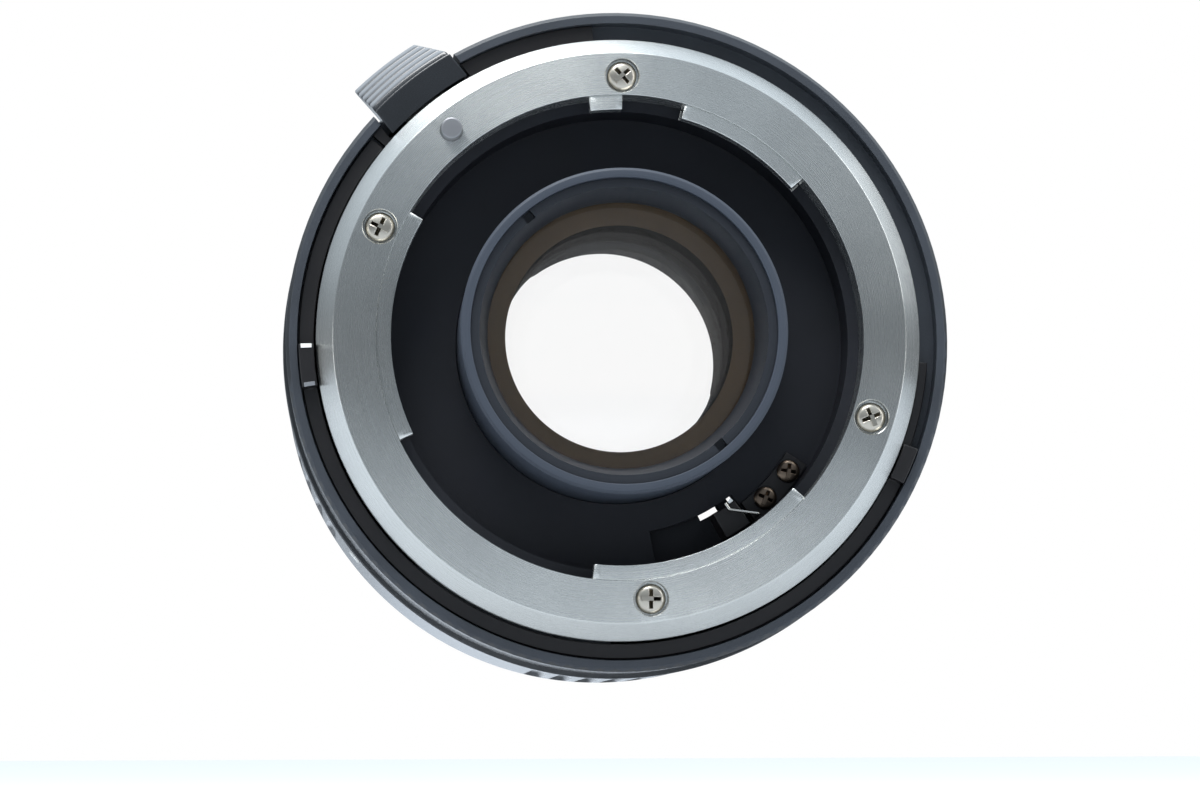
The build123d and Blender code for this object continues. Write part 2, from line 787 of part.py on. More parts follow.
def socket_floor():
    """The black plate that closes the lens socket, with the slot for the stop-down lever."""
    back = socket_floor_y + floor_thickness
    body = band(collar_radius + running_gap, floor_rim_radius, socket_floor_y, back)
    start = fork_angles[0] - lever_turn_angle - slot_play_angle
    body = body - arc_cutter(slot_inner_radius, slot_outer_radius, socket_floor_y, back,
                             start, fork_angles[1] + slot_play_angle)
    hole = disc(small_shank_radius, socket_floor_y - overrun, back + overrun)
    return drill(body, hole, bracket_screw_circle_radius, bracket_screw_angles)


def lever_bracket():
    """The small arc plate that anchors the lever's return spring."""
    front = socket_floor_y - bracket_thickness
    body = band(bracket_inner_radius, bracket_outer_radius, front, socket_floor_y, *bracket_angles)
    hole = disc(small_shank_radius, front - overrun, socket_floor_y + overrun)
    return drill(body, hole, bracket_screw_circle_radius, bracket_screw_angles)


def lever_bracket_screws():
    """Two cross-head screws that hold the bracket to the socket floor."""
    one = screw(small_head_radius, small_head_height, small_shank_radius, small_screw_length)
    y_head = socket_floor_y - bracket_thickness - small_head_height
    return polar_group(one, bracket_screw_circle_radius, bracket_screw_angles, y_head)


def around(radius, angle, y):
    """A point at a radius and an angle about the optical axis."""
    turn = math.radians(angle)
    return (radius * math.cos(turn), y, radius * math.sin(turn))


def lever_return_spring():
    """The bright wire that rises from the bracket and hooks over the stop-down lever."""
    bottom = socket_floor_y - bracket_thickness
    top = depth(fork_depth) - moving_gap - spring_wire_radius
    points = [
        around(spring_rise_radius, spring_rise_angle, bottom),
        around(spring_rise_radius, spring_rise_angle, top),
        around(spring_hook_radius, spring_hook_angle, top),
        around(spring_hook_radius - spring_hook_length, spring_hook_angle, top),
    ]
    bend = spring_wire_radius * 2
    path = FilletPolyline(*points, radius=bend)
    section = Plane(origin=path @ 0, z_dir=path % 0) * Circle(spring_wire_radius)
    return sweep(section, path=path)


def aperture_ring():
    """The ring that turns on the optical tube, with a slotted sector for the fork and the bar."""
    front = depth(lever_ring_depth)
    back = front + lever_ring_thickness
    body = band(tube_radius + running_gap, lever_ring_outer_radius, front, back)
    body = body + band(tube_radius + running_gap, fork_outer_radius, front, back,
                       lever_sector_start_angle, fork_angles[1])
    return body - arc_cutter(lever_ring_outer_radius, fork_inner_radius, front, back, *lever_window_angles)


def stop_down_fork():
    """The block that pushes the lens's stop-down lever, seen through the socket slot."""
    return band(fork_inner_radius, fork_outer_radius, depth(fork_depth), depth(lever_ring_depth),
                *fork_angles)


def aperture_bar():
    """The long bar that joins the aperture ring to the camera's lever."""
    front = depth(lever_ring_depth) + lever_ring_thickness
    return band(bar_inner_radius, bar_outer_radius, front, bar_proud_length, *bar_angles)


def optical_tube():
    """The blue-grey tube that stands in front of the flange and carries the glass."""
    pocket = collar_radius - collar_land_width
    front = depth(-collar_proud_length)
    shoulder = socket_floor_y + floor_thickness
    ring_stop = depth(lever_ring_depth) + lever_ring_thickness + moving_gap
    return lathe([
        (pocket, front),
        (collar_radius - collar_edge_width, front),
        (collar_radius, front + collar_edge_width),
        (collar_radius, shoulder),
        (tube_radius, shoulder),
        (tube_radius, ring_stop),
        (tube_shoulder_radius, ring_stop),
        (tube_shoulder_radius, ring_stop + tube_shoulder_length),
        (tube_waist_radius, ring_stop + tube_shoulder_length),
        (tube_waist_radius, depth(septum_depth) - tube_shoulder_length),
        (tube_shoulder_radius, depth(septum_depth) - tube_shoulder_length),
        (tube_shoulder_radius, depth(septum_depth)),
        (tube_radius, depth(septum_depth)),
        (tube_radius, depth(tube_end_depth)),
        (tube_bore_radius, depth(tube_end_depth)),
        (tube_bore_radius, depth(glass_seat_depth)),
        (pocket, depth(glass_seat_depth)),
    ])


def front_retaining_ring():
    """The threaded ring in front of the first element, with two spanner notches."""
    outer = collar_radius - collar_land_width - fit_gap
    front = depth(retainer_drop - collar_proud_length)
    seat = depth(glass_seat_depth)
    body = lathe([
        (outer - retainer_land_width, front),
        (outer, front),
        (outer, seat),
        (retainer_lip_radius, seat),
        (retainer_lip_radius, seat - retainer_lip_thickness),
    ])
    notch = Box(notch_depth * 2, notch_depth * 2, notch_width)
    return drill(body, Pos(0, front, 0) * notch, outer, (notch_angle, notch_angle + 180))


def bulge_arc(inner_y, clear_radius, bulge):
    """The three points of a lens surface from its clear radius to the axis."""
    curve = (clear_radius ** 2 + bulge ** 2) / (2 * abs(bulge))
    half = clear_radius / 2
    sag = curve - math.sqrt(curve ** 2 - half ** 2)
    rise = abs(bulge) - sag
    sign = math.copysign(1, bulge)
    return inner_y + sign * rise, inner_y + sign * abs(bulge)


def lens_element(index):
    """One glass element, flat at its rim and curved inside its clear radius."""
    thickness, front_bulge, rear_bulge = element_sizes[index]
    front, back = element_faces(index)
    edge = tube_bore_radius - fit_gap
    front_half, front_top = bulge_arc(front, glass_clear_radius, -front_bulge)
    rear_half, rear_top = bulge_arc(back, glass_clear_radius, rear_bulge)
    half = glass_clear_radius / 2
    with BuildSketch(Plane.XY) as section:
        with BuildLine():
            Polyline((glass_clear_radius, front), (edge, front), (edge, back),
                     (glass_clear_radius, back))
            ThreePointArc((glass_clear_radius, back), (half, rear_half), (0, rear_top))
            Line((0, rear_top), (0, front_top))
            ThreePointArc((0, front_top), (half, front_half), (glass_clear_radius, front))
        make_face()
    return revolve(section.sketch, Axis.Y)


def element_faces(index):
    """The front and back rim faces of an element, counted from the seat of the first."""
    front = depth(glass_seat_depth)
    for before in range(index):
        front = front + element_sizes[before][0] + spacer_sizes[before][0]
    return front, front + element_sizes[index][0]


def lens_spacer(index):
    """The black ring between two elements, which also stops stray light."""
    length, wall = spacer_sizes[index]
    front = element_faces(index)[1]
    outer = tube_bore_radius - fit_gap
    return band(tube_bore_radius - wall, outer, front, front + length)


def rear_retaining_ring():
    """The ring behind the last element, whose rear lip is the far stop."""
    seat = element_faces(len(element_sizes) - 1)[1]
    outer = tube_bore_radius - fit_gap
    back = seat + rear_retainer_length
    body = lathe([
        (glass_clear_radius + (outer - glass_clear_radius) / 3, seat),
        (outer, seat),
        (outer, back),
        (rear_retainer_lip_radius, back),
    ])
    notch = Box(notch_depth * 2, notch_depth * 2, notch_width)
    return drill(body, Pos(0, back, 0) * notch, outer, (notch_angle, notch_angle + 180))


def tube_lock_ring():
    """The ring that locks the optical tube in the septum of the frame."""
    front = depth(septum_depth + septum_thickness)
    inner = tube_radius + fit_gap
    return band(inner, inner + lock_ring_width, front, front + lock_ring_thickness)


def rear_light_tube():
    """The grooved tube behind the optical tube, which keeps the levers' light out of the picture."""
    front = depth(tube_end_depth)
    back = -light_tube_end_gap
    inner = tube_radius - light_tube_wall
    count = int((back - front) / light_groove_pitch)
    points = [(tube_radius, back), (tube_radius, front), (inner, front)]
    for index in range(count):
        y_groove = front + light_groove_pitch * (index + 0.5)
        points.append((inner, y_groove))
        points.append((inner + light_groove_depth, y_groove))
        points.append((inner, y_groove + light_groove_pitch / 2))
    points.append((inner, back))
    return lathe(points)


def rear_mount():
    """The male bayonet: flange, tube and three lugs that turn behind the camera's claws."""
    relief_y = -rear_relief_depth
    body = lathe([
        (bayonet_tube_bore_radius, rear_plate_y),
        (rear_mount_radius, rear_plate_y),
        (rear_mount_radius, -shell_edge_width),
        (rear_mount_radius - shell_edge_width, 0),
        (rear_face_inner_radius, 0),
        (rear_face_inner_radius, relief_y),
        (bayonet_tube_radius, relief_y),
        (bayonet_tube_radius, bayonet_length - shell_edge_width),
        (bayonet_tube_radius - shell_edge_width, bayonet_length),
        (bayonet_tube_bore_radius, bayonet_length),
    ])
    for start, end in lug_angles:
        body = body + band(bayonet_tube_radius - running_gap, lug_radius, lug_drop,
                           lug_drop + lug_thickness, start, end)
    hole = counterbored(counterbore_radius, mount_screw_head_height + claw_drop,
                        mount_screw_shank_radius + running_gap, rear_mount_thickness + overrun)
    body = drill(body, Rot(180, 0, 0) * hole, rear_screw_circle_radius, rear_screw_angles)
    pin_hole = disc((pin_radius + rear_pin_hole_gap), -rear_pin_hole_depth, overrun)
    return body - place(pin_hole, pin_circle_radius, pin_angle)


def rear_mount_screws():
    """Four cross-head screws, their heads just below the camera-side face."""
    one = screw(mount_screw_head_radius, mount_screw_head_height, mount_screw_shank_radius,
                rear_screw_length)
    one = Rot(180, 0, 0) * one
    return polar_group(one, rear_screw_circle_radius, rear_screw_angles, -claw_drop)


def main():
    """Build every piece and write each to its own file."""
    pieces = {
        "lens_mount": lens_mount(),
        "lens_mount_screws": lens_mount_screws(),
        "bayonet_leaf_springs": bayonet_leaf_springs(),
        "front_housing": front_housing(),
        "tube_carrier": tube_carrier(),
        "rear_housing": rear_housing(),
        "front_ring": front_ring(),
        "guide_plates": guide_plates(),
        "grip_ring": grip_ring(),
        "rear_barrel": rear_barrel(),
        "barrel_set_screws": barrel_set_screws(),
        "index_beads": index_beads(),
        "release_button": release_button(),
        "release_arm": release_arm(),
        "lock_pin": lock_pin(),
        "release_spring": release_spring(),
        "meter_ring_front": meter_ring_front(),
        "meter_tab_marks": meter_tab_marks(),
        "meter_link_bars": meter_link_bars(),
        "meter_ring_rear": meter_ring_rear(),
        "meter_link_screws": meter_link_screws(),
        "socket_floor": socket_floor(),
        "lever_bracket": lever_bracket(),
        "lever_bracket_screws": lever_bracket_screws(),
        "lever_return_spring": lever_return_spring(),
        "aperture_ring": aperture_ring(),
        "stop_down_fork": stop_down_fork(),
        "aperture_bar": aperture_bar(),
        "optical_tube": optical_tube(),
        "front_retaining_ring": front_retaining_ring(),
        "rear_retaining_ring": rear_retaining_ring(),
        "tube_lock_ring": tube_lock_ring(),
        "rear_light_tube": rear_light_tube(),
        "rear_mount": rear_mount(),
        "rear_mount_screws": rear_mount_screws(),
    }
    for index in range(len(element_sizes)):
        pieces[f"lens_element_{index + 1}"] = lens_element(index)
    for index in range(len(spacer_sizes)):
        pieces[f"lens_spacer_{index + 1}"] = lens_spacer(index)
    os.makedirs("parts", exist_ok=True)
    for name, piece in pieces.items():
        export_step(piece, f"parts/{name}.step")


main()
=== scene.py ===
"""A long camera teleconverter with a three-claw bayonet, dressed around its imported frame.

The optical axis runs along Y, with the lens side towards -Y and the origin on the axis at the
camera-side flange face. Angles are counted from +X towards +Z as seen from the lens side.
"""
import logging
import math
from collections.abc import Callable
from dataclasses import dataclass
from enum import Enum

import bmesh
import bpy
from mathutils import Matrix, Vector


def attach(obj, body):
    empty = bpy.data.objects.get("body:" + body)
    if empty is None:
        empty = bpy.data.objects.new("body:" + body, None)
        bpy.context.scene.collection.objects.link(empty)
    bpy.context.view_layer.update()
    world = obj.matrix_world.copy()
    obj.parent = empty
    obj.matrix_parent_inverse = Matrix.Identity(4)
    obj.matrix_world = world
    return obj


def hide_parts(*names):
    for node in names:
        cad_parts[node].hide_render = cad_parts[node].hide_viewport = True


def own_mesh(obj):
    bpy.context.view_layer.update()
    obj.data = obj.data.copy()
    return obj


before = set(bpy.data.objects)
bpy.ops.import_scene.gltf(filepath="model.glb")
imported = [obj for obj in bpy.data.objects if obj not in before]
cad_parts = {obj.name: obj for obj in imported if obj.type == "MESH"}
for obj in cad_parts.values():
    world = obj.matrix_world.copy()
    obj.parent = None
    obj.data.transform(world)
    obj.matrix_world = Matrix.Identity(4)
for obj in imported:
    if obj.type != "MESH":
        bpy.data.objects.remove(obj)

LOG = logging.getLogger("teleconverter")
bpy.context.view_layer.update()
MM = 0.001
Point = tuple[float, float]
Piece = bpy.types.Object
Tree = bpy.types.NodeTree
Socket = bpy.types.NodeSocket
# Shared places and sizes, in millimetres and degrees
FLANGE_Y = -51.5
PIN_CIRCLE = 25.65
PIN_ANGLE = 129.4
OVERRUN = 1.0
WELD = 0.0005
MERGE = 0.002
SHARP_ANGLE = 35.0
EASED_ANGLE = 30.0
FLAT_ANGLE = 0.5
# Values that every finish shares: heights in millimetres, the rest as shares
COAT_ROUGHNESS = 0.12
QUARTER_TURN = 0.25
CLOUDS_PER_MM = 0.18
SPECK_REACH = 0.16
ROUGHNESS_SWING = 0.15
GRAIN_HEIGHT = 0.02
TURN_HEIGHT = 0.01


class Body(Enum):
    """The rigid bodies that pieces ride on."""

    FIXED = "converter_body"
    RELEASE = "lens_release"
    METER = "meter_cage"
    LEVER = "stop_down_lever"


# Colour and node helpers


def linear(code: str) -> tuple[float, float, float, float]:
    """Turn an sRGB hex colour into linear RGBA.

    Args:
        code: Six hex digits with a leading hash mark.

    Returns:
        The colour as Blender's sockets take it.
    """
    values = [int(code[place:place + 2], 16) / 255 for place in (1, 3, 5)]
    parts = [v / 12.92 if v <= 0.04045 else ((v + 0.055) / 1.055) ** 2.4 for v in values]
    return (parts[0], parts[1], parts[2], 1.0)


def connect(tree: Tree, node: bpy.types.Node, links: dict) -> None:
    """Link a node's inputs to sockets, or give them values.

    Args:
        tree: The tree that has the node.
        node: The node.
        links: Input name or number to an output socket or a value.
    """
    for key, value in links.items():
        if isinstance(value, Socket):
            tree.links.new(value, node.inputs[key])
        else:
            node.inputs[key].default_value = value


def add_node(tree: Tree, kind: str, links: dict | None = None, **settings: object) -> bpy.types.Node:
    """Add a node with its settings, values and incoming links.

    Args:
        tree: The tree that takes the node.
        kind: The node's Blender type name.
        links: Input name or number to an output socket or a value.
        **settings: Properties of the node itself.

    Returns:
        The new node.
    """
    node = tree.nodes.new(kind)
    for name, value in settings.items():
        setattr(node, name, value)
    connect(tree, node, links or {})
    return node


def math_node(tree: Tree, operation: str, first: object, second: object) -> Socket:
    """Add an arithmetic node on two sockets or values, and give its result."""
    return add_node(tree, "ShaderNodeMath", {0: first, 1: second}, operation=operation).outputs[0]


def colour_mix(tree: Tree, share: object, first: object, second: object) -> Socket:
    """Add a node that mixes two colours, the second by the share, and give the mix."""
    return add_node(tree, "ShaderNodeMix", {0: share, 6: first, 7: second}, data_type="RGBA").outputs[2]


def new_material(name: str, values: dict) -> tuple[bpy.types.Material, bpy.types.Node]:
    """Add a material.

    Args:
        name: Its name.
        values: The shader's inputs that are the same all over, and their values.

    Returns:
        The material and its Principled shader.
    """
    material = bpy.data.materials.new(name)
    material.use_nodes = True
    shader = material.node_tree.nodes["Principled BSDF"]
    connect(material.node_tree, shader, values)
    return material, shader


def ring_distance(tree: Tree) -> tuple[Socket, Socket]:
    """Give a pattern its place around the optical axis.

    Args:
        tree: The material's tree.

    Returns:
        The object coordinates, and the distance from the optical axis in metres.
    """
    where = add_node(tree, "ShaderNodeTexCoord").outputs["Object"]
    flat = add_node(tree, "ShaderNodeVectorMath", {0: where, 1: (1, 0, 1)}, operation="MULTIPLY")
    away = add_node(tree, "ShaderNodeVectorMath", {0: flat.outputs[0]}, operation="LENGTH")
    return where, away.outputs["Value"]


@dataclass(frozen=True)
class Finish:
    """A surface finish: its colours, gloss, and the marks that its making left.

    Sizes of marks are in millimetres. A mark strength of zero leaves the mark out.
    """

    name: str
    colour: str
    second: str
    metallic: float
    roughness: float
    grain_mm: float = 0.25
    grain_bump: float = 0.0
    turn_mm: float = 0.0
    turn_bump: float = 0.0
    turn_tint: float = 0.0
    speck_mm: float = 0.0
    speck_share: float = 0.0
    speck_colour: str = "#b9bcc0"
    anisotropic: float = 0.0
    coat: float = 0.0
    specular: float = 0.5

    def build(self) -> bpy.types.Material:
        """Build the material once, and hand the same one out after that.

        Returns:
            The material.
        """
        known = bpy.data.materials.get(self.name)
        if known:
            return known
        material, shader = new_material(self.name, {
            "Metallic": self.metallic, "Specular IOR Level": self.specular, "Coat Weight": self.coat,
            "Coat Roughness": COAT_ROUGHNESS, "Anisotropic": self.anisotropic, "Anisotropic Rotation": QUARTER_TURN})
        tree = material.node_tree
        where, away = ring_distance(tree)
        cloud = add_node(tree, "ShaderNodeTexNoise", {"Vector": where, "Scale": CLOUDS_PER_MM / MM, "Detail": 3.0})
        tone = cloud.outputs["Fac"]
        lines = None
        if self.turn_mm:
            place = add_node(tree, "ShaderNodeSeparateXYZ", {0: where}).outputs["Y"]
            along = math_node(tree, "ADD", away, place)
            lines = add_node(tree, "ShaderNodeTexNoise", {"W": along, "Scale": 1 / (self.turn_mm * MM), "Detail": 2.0},
                             noise_dimensions="1D").outputs["Fac"]
            tone = add_node(tree, "ShaderNodeMix", {"Factor": self.turn_tint, "A": tone, "B": lines}).outputs[0]
        mixed = colour_mix(tree, tone, linear(self.colour), linear(self.second))
        grain = add_node(tree, "ShaderNodeTexNoise",
                         {"Vector": where, "Scale": 1 / (self.grain_mm * MM), "Detail": 2.0}).outputs["Fac"]
        if self.speck_mm:
            dust = add_node(tree, "ShaderNodeTexVoronoi", {"Vector": where, "Scale": 1 / (self.speck_mm * MM)})
            chosen = math_node(tree, "LESS_THAN", dust.outputs["Color"], self.speck_share)
            near = math_node(tree, "LESS_THAN", dust.outputs["Distance"], SPECK_REACH)
            mixed = colour_mix(tree, math_node(tree, "MULTIPLY", chosen, near), mixed, linear(self.speck_colour))
        rough = add_node(tree, "ShaderNodeMapRange", {"Value": tone, "To Min": self.roughness * (1 - ROUGHNESS_SWING),
                                                      "To Max": self.roughness * (1 + ROUGHNESS_SWING)})
        normal = add_node(tree, "ShaderNodeBump",
                          {"Height": grain, "Strength": self.grain_bump, "Distance": GRAIN_HEIGHT * MM})
        if lines and self.turn_bump:
            normal = add_node(tree, "ShaderNodeBump", {"Height": lines, "Strength": self.turn_bump,
                                                       "Distance": TURN_HEIGHT * MM, "Normal": normal.outputs[0]})
        connect(tree, shader, {"Base Color": mixed, "Roughness": rough.outputs[0], "Normal": normal.outputs[0]})
        if self.anisotropic:
            spin = add_node(tree, "ShaderNodeTangent", direction_type="RADIAL", axis="Y")
            connect(tree, shader, {"Tangent": spin.outputs[0]})
        return material


@dataclass(frozen=True)
class LensGlass:
    """Polished optical glass, coated until it hardly mirrors anything."""

    name: str = "coated_optical_glass"
    tint: str = "#ffffff"
    index: float = 1.3

    def build(self) -> bpy.types.Material:
        """Build the glass once, and hand the same one out after that.

        Returns:
            The material.
        """
        known = bpy.data.materials.get(self.name)
        if known:
            return known
        return new_material(self.name, {"Base Color": linear(self.tint), "Transmission Weight": 1.0, "Roughness": 0.0,
                                        "IOR": self.index, "Specular IOR Level": 0.0})[0]


# Stainless steel turned on a lathe: circular tool marks that fan the light out
STAINLESS = Finish("turned_stainless_steel", "#b4b6b4", "#dfe1de", 1.0, 0.27, 0.4, 0.02, 0.06, 0.22, 0.6,
                   speck_mm=1.9, speck_share=0.04, speck_colour="#f4f4f2", anisotropic=0.88)
# The lock pin's ground tip, duller than the flange
PIN_STEEL = Finish("ground_pin_steel", "#86878a", "#a2a3a6", 1.0, 0.42, 0.15, 0.15)
# Nickel plate, warmer than the steel around it
NICKEL = Finish("nickel_plated_screw", "#aba69b", "#c3beb3", 1.0, 0.3, 0.2, 0.06)
# The same plate, darkened as painted shade for down in the cross
SHADED_NICKEL = Finish("dulled_nickel_recess", "#4a4338", "#5c5344", 1.0, 0.5, 0.2, 0.1)
# Polished spring wire and sheet, the brightest metal in the socket
SPRING = Finish("bright_spring_steel", "#c9c8c4", "#a5a39d", 1.0, 0.25, 0.2, 0.1)
# Blackened steel, which sinks the set screws into the barrel
BLUED = Finish("blackened_steel_screw", "#141416", "#1d1d1f", 1.0, 0.4, 0.2, 0.15)
# Cast alloy with a dead black coat that takes the light out of the socket
DEAD_BLACK = Finish("dead_black_coat", "#181a1e", "#21232a", 0.0, 0.6, 0.12, 0.4, specular=0.25)
# Olive-black flock paint on the turned steps inside the tube
BORE_BLACK = Finish("olive_black_bore", "#0f0c08", "#17120a", 0.0, 0.85, specular=0.0)
# Baked black paint with a fine wrinkle, and dust caught in it
RIM_PAINT = Finish("wrinkled_black_paint", "#23272d", "#333941", 0.0, 0.5, 0.14, 0.9, speck_mm=0.9, speck_share=0.08)
# Smooth black enamel that mirrors the lamps softly
ENAMEL = Finish("satin_black_enamel", "#0b0e12", "#13171c", 0.0, 0.24, 0.3, 0.1, coat=1.0)
# The ribbed ring's paint, matted by handling
GRIP_PAINT = Finish("matt_ribbed_paint", "#16191c", "#202428", 0.0, 0.36, 0.2, 0.1, coat=0.8)
# Dark bronze lacquer on the first spacer's cone, which warms the rim of the bore
AMBER_BLACK = Finish("bronze_black_lacquer", "#4a3f33", "#594937", 0.0, 0.6, turn_mm=0.2, turn_tint=0.3, specular=0.0)
# Black anodised rings that hold the glass
RING_BLACK = Finish("black_anodised_ring", "#1f2228", "#272b32", 0.3, 0.45, 0.2, 0.08, 0.14, 0.2, 0.5)
# Nickel, darker and browner than the flange screws, on the small screws down in the socket
DARK_BROWN_NICKEL = Finish("browned_nickel_screw", "#5f5348", "#7a6d60", 1.0, 0.32, 0.2, 0.08)
# Black oxide on the coupling pieces, faintly warm, with faint turning marks
COUPLING_BLACK = Finish("black_oxide_coupling", "#131214", "#1c1a1b", 0.3, 0.42, 0.2, 0.2, 0.15, 0.12, 0.3,
                        speck_mm=1.1, speck_share=0.05)
# Blue-grey anodised aluminium, satin from a fine cut
SLATE = Finish("blue_grey_anodised_alloy", "#30363f", "#3c434e", 0.0, 0.55, 0.2, 0.1, 0.14, 0.22, 0.6,
               speck_mm=1.3, speck_share=0.06, specular=0.35)
# Paint on the tab marks: a painted highlight in white on the upper one, a painted dimmer reflection in grey on the
# lower one; the same white is the index beads' own paint
GREY_PAINTED_REFLECTION = Finish("worn_grey_fill", "#5d6065", "#85888c", 0.0, 0.5, 0.2, 0.2)
WHITE_PAINT = Finish("white_enamel_fill", "#e6e6e2", "#f2f2ee", 0.0, 0.4, 0.2, 0.1)
GLASS = LensGlass()


# Mesh helpers


def turned(radius: float, angle: float, y: float) -> Vector:
    """Give the point, in metres, at a radius and a y in millimetres and an angle from +X towards +Z."""
    turn = math.radians(angle)
    return Vector((radius * math.cos(turn), y, radius * math.sin(turn))) * MM


def rounded(points: list[Point], size: float, steps: int = 3) -> list[Point]:
    """Round every corner of a closed outline.

    Args:
        points: The corners as (radius, y) in millimetres.
        size: How far the rounding reaches from each corner.
        steps: Points on each rounded corner, less one.

    Returns:
        The outline with rounded corners.
    """
    result = []
    for index, corner in enumerate(points):
        here = Vector(corner)
        back = Vector(points[index - 1]) - here
        ahead = Vector(points[(index + 1) % len(points)]) - here
        reach = min(size, back.length * 0.4, ahead.length * 0.4)
        first = here + back.normalized() * reach
        last = here + ahead.normalized() * reach
        for step in range(steps + 1):
            share = step / steps
            curve = first * (1 - share) ** 2 + here * 2 * share * (1 - share) + last * share ** 2
            result.append((curve.x, curve.y))
    return result


def linked(name: str, data: bpy.types.ID) -> Piece:
    """Put new data into the scene as an object at the origin.

    Args:
        name: The object's name.
        data: Its mesh, light or camera.

    Returns:
        The object.
    """
    piece = bpy.data.objects.new(name, data)
    bpy.context.scene.collection.objects.link(piece)
    return piece


def bridge(bm: bmesh.types.BMesh, one: list, two: list, closed: bool = True) -> None:
    """Lay faces between two rows of vertices, and from their last back to their first where closed.

    Args:
        bm: The mesh that takes the faces.
        one: The first row.
        two: The second row, as long as the first.
        closed: Whether the rows are closed.
    """
    for place in range(len(one) if closed else len(one) - 1):
        following = (place + 1) % len(one)
        bm.faces.new([one[place], one[following], two[following], two[place]])


def finished_mesh(bm: bmesh.types.BMesh, name: str, finish: Finish | LensGlass,
                  sharp: float = SHARP_ANGLE) -> Piece:
    """Turn a bmesh into a smooth-shaded object with outward faces.

    Args:
        bm: The mesh in metres, freed here.
        name: The piece's name.
        finish: Its finish.
        sharp: Edges steeper than this many degrees stay sharp.

    Returns:
        The new object at the origin.
    """
    bmesh.ops.remove_doubles(bm, verts=bm.verts, dist=WELD * MM)
    bmesh.ops.recalc_face_normals(bm, faces=bm.faces)
    mesh = bpy.data.meshes.new(name)
    bm.to_mesh(mesh)
    bm.free()
    old_normals = mesh.attributes.get("custom_normal")
    if old_normals:
        mesh.attributes.remove(old_normals)
    mesh.shade_smooth()
    mesh.set_sharp_from_angle(angle=math.radians(sharp))
    mesh.materials.append(finish.build())
    return linked(name, mesh)


def lathe(name: str, outline: list[Point], finish: Finish | LensGlass, start: float = 0.0, end: float = 360.0,
          step: float = 1.5) -> Piece:
    """Turn a closed outline about the optical axis.

    Args:
        name: The piece's name.
        outline: Points as (radius, y) in millimetres.
        finish: Its finish.
        start: First angle in degrees.
        end: Last angle in degrees.
        step: Degrees between two sections.

    Returns:
        The turned piece.
    """
    whole = end - start >= 360.0
    count = max(2, round((end - start) / step))
    bm = bmesh.new()
    rings = []
    for index in range(count if whole else count + 1):
        angle = start + (end - start) * index / count
        rings.append([bm.verts.new(turned(radius, angle, y)) for radius, y in outline])
    for one, two in zip(rings, rings[1:] + rings[:1] if whole else rings[1:]):
        bridge(bm, one, two)
    if not whole:
        bm.faces.new(rings[0])
        bm.faces.new(list(reversed(rings[-1])))
    bmesh.ops.dissolve_degenerate(bm, dist=0.0001 * MM, edges=bm.edges)
    return weighted(finished_mesh(bm, name, finish))


def stud(name: str, outline: list[Point], finish: Finish, circle: float, angle: float, y: float) -> Piece:
    """Turn a small round piece about its own axis and set it on a circle.

    Args:
        name: The piece's name.
        outline: Points as (radius, y) from the piece's own axis and front, in millimetres.
        finish: Its finish.
        circle: Radius of the circle that it stands on.
        angle: Its angle on that circle.
        y: Place of its front along the optical axis.

    Returns:
        The piece.
    """
    piece = lathe(name, outline, finish, step=6.0)
    piece.data.transform(Matrix.Translation(turned(circle, angle, y)))
    return piece


def joined(name: str, finish: Finish, pieces: list[Piece]) -> Piece:
    """Join several pieces into one mesh, and remove them.

    Args:
        name: The new piece's name.
        finish: Its finish.
        pieces: The pieces.

    Returns:
        The new piece.
    """
    bm = bmesh.new()
    for piece in pieces:
        bm.from_mesh(piece.data)
        bpy.data.objects.remove(piece)
    return weighted(finished_mesh(bm, name, finish))


def cut(piece: Piece, cutter: Piece) -> Piece:
    """Cut one closed form out of a piece, and remove the cutter.

    Args:
        piece: The piece.
        cutter: The form.

    Returns:
        The same piece.
    """
    modifier = piece.modifiers.new("cut", "BOOLEAN")
    modifier.object = cutter
    modifier.solver = "EXACT"
    baked(piece)
    bpy.data.objects.remove(cutter)
    return piece


def broken(piece: Piece, width: float, angle: float) -> Piece:
    """Round the edges that are steeper than an angle in degrees, by a width in millimetres.

    Args:
        piece: The piece.
        width: How wide the edges are broken.
        angle: How steep they are at least.

    Returns:
        The same piece.
    """
    bevel = piece.modifiers.new("broken_edge", "BEVEL")
    bevel.width = width * MM
    bevel.segments = 2
    bevel.limit_method = "ANGLE"
    bevel.angle_limit = math.radians(angle)
    return weighted(piece)


def weighted(piece: Piece) -> Piece:
    """Let the wide faces keep their own shading beside rounded edges."""
    modifier = piece.modifiers.new("flat_faces", "WEIGHTED_NORMAL")
    modifier.keep_sharp = True
    return baked(piece)


def baked(piece: Piece) -> Piece:
    """Apply a piece's modifiers by taking its evaluated mesh, and drop them.

    Args:
        piece: The object with live modifiers.

    Returns:
        The same object with a plain mesh.
    """
    graph = bpy.context.evaluated_depsgraph_get()
    graph.update()
    mesh = bpy.data.meshes.new_from_object(piece.evaluated_get(graph), depsgraph=graph)
    piece.modifiers.clear()
    piece.data = mesh
    return piece


def softened(node: str, name: str, finish: Finish, width: float) -> Piece:
    """Copy a frame node's form, merge it, and round its edges as the real piece's are broken.

    Args:
        node: The node whose form is copied.
        name: The new piece's name.
        finish: Its finish.
        width: Width of the broken edge in millimetres.

    Returns:
        The new piece.
    """
    bm = bmesh.new()
    bm.from_mesh(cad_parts[node].data)
    bmesh.ops.remove_doubles(bm, verts=bm.verts, dist=MERGE * MM)
    bmesh.ops.dissolve_limit(bm, angle_limit=math.radians(FLAT_ANGLE), verts=bm.verts, edges=bm.edges)
    return broken(finished_mesh(bm, name, finish, EASED_ANGLE), width, EASED_ANGLE)


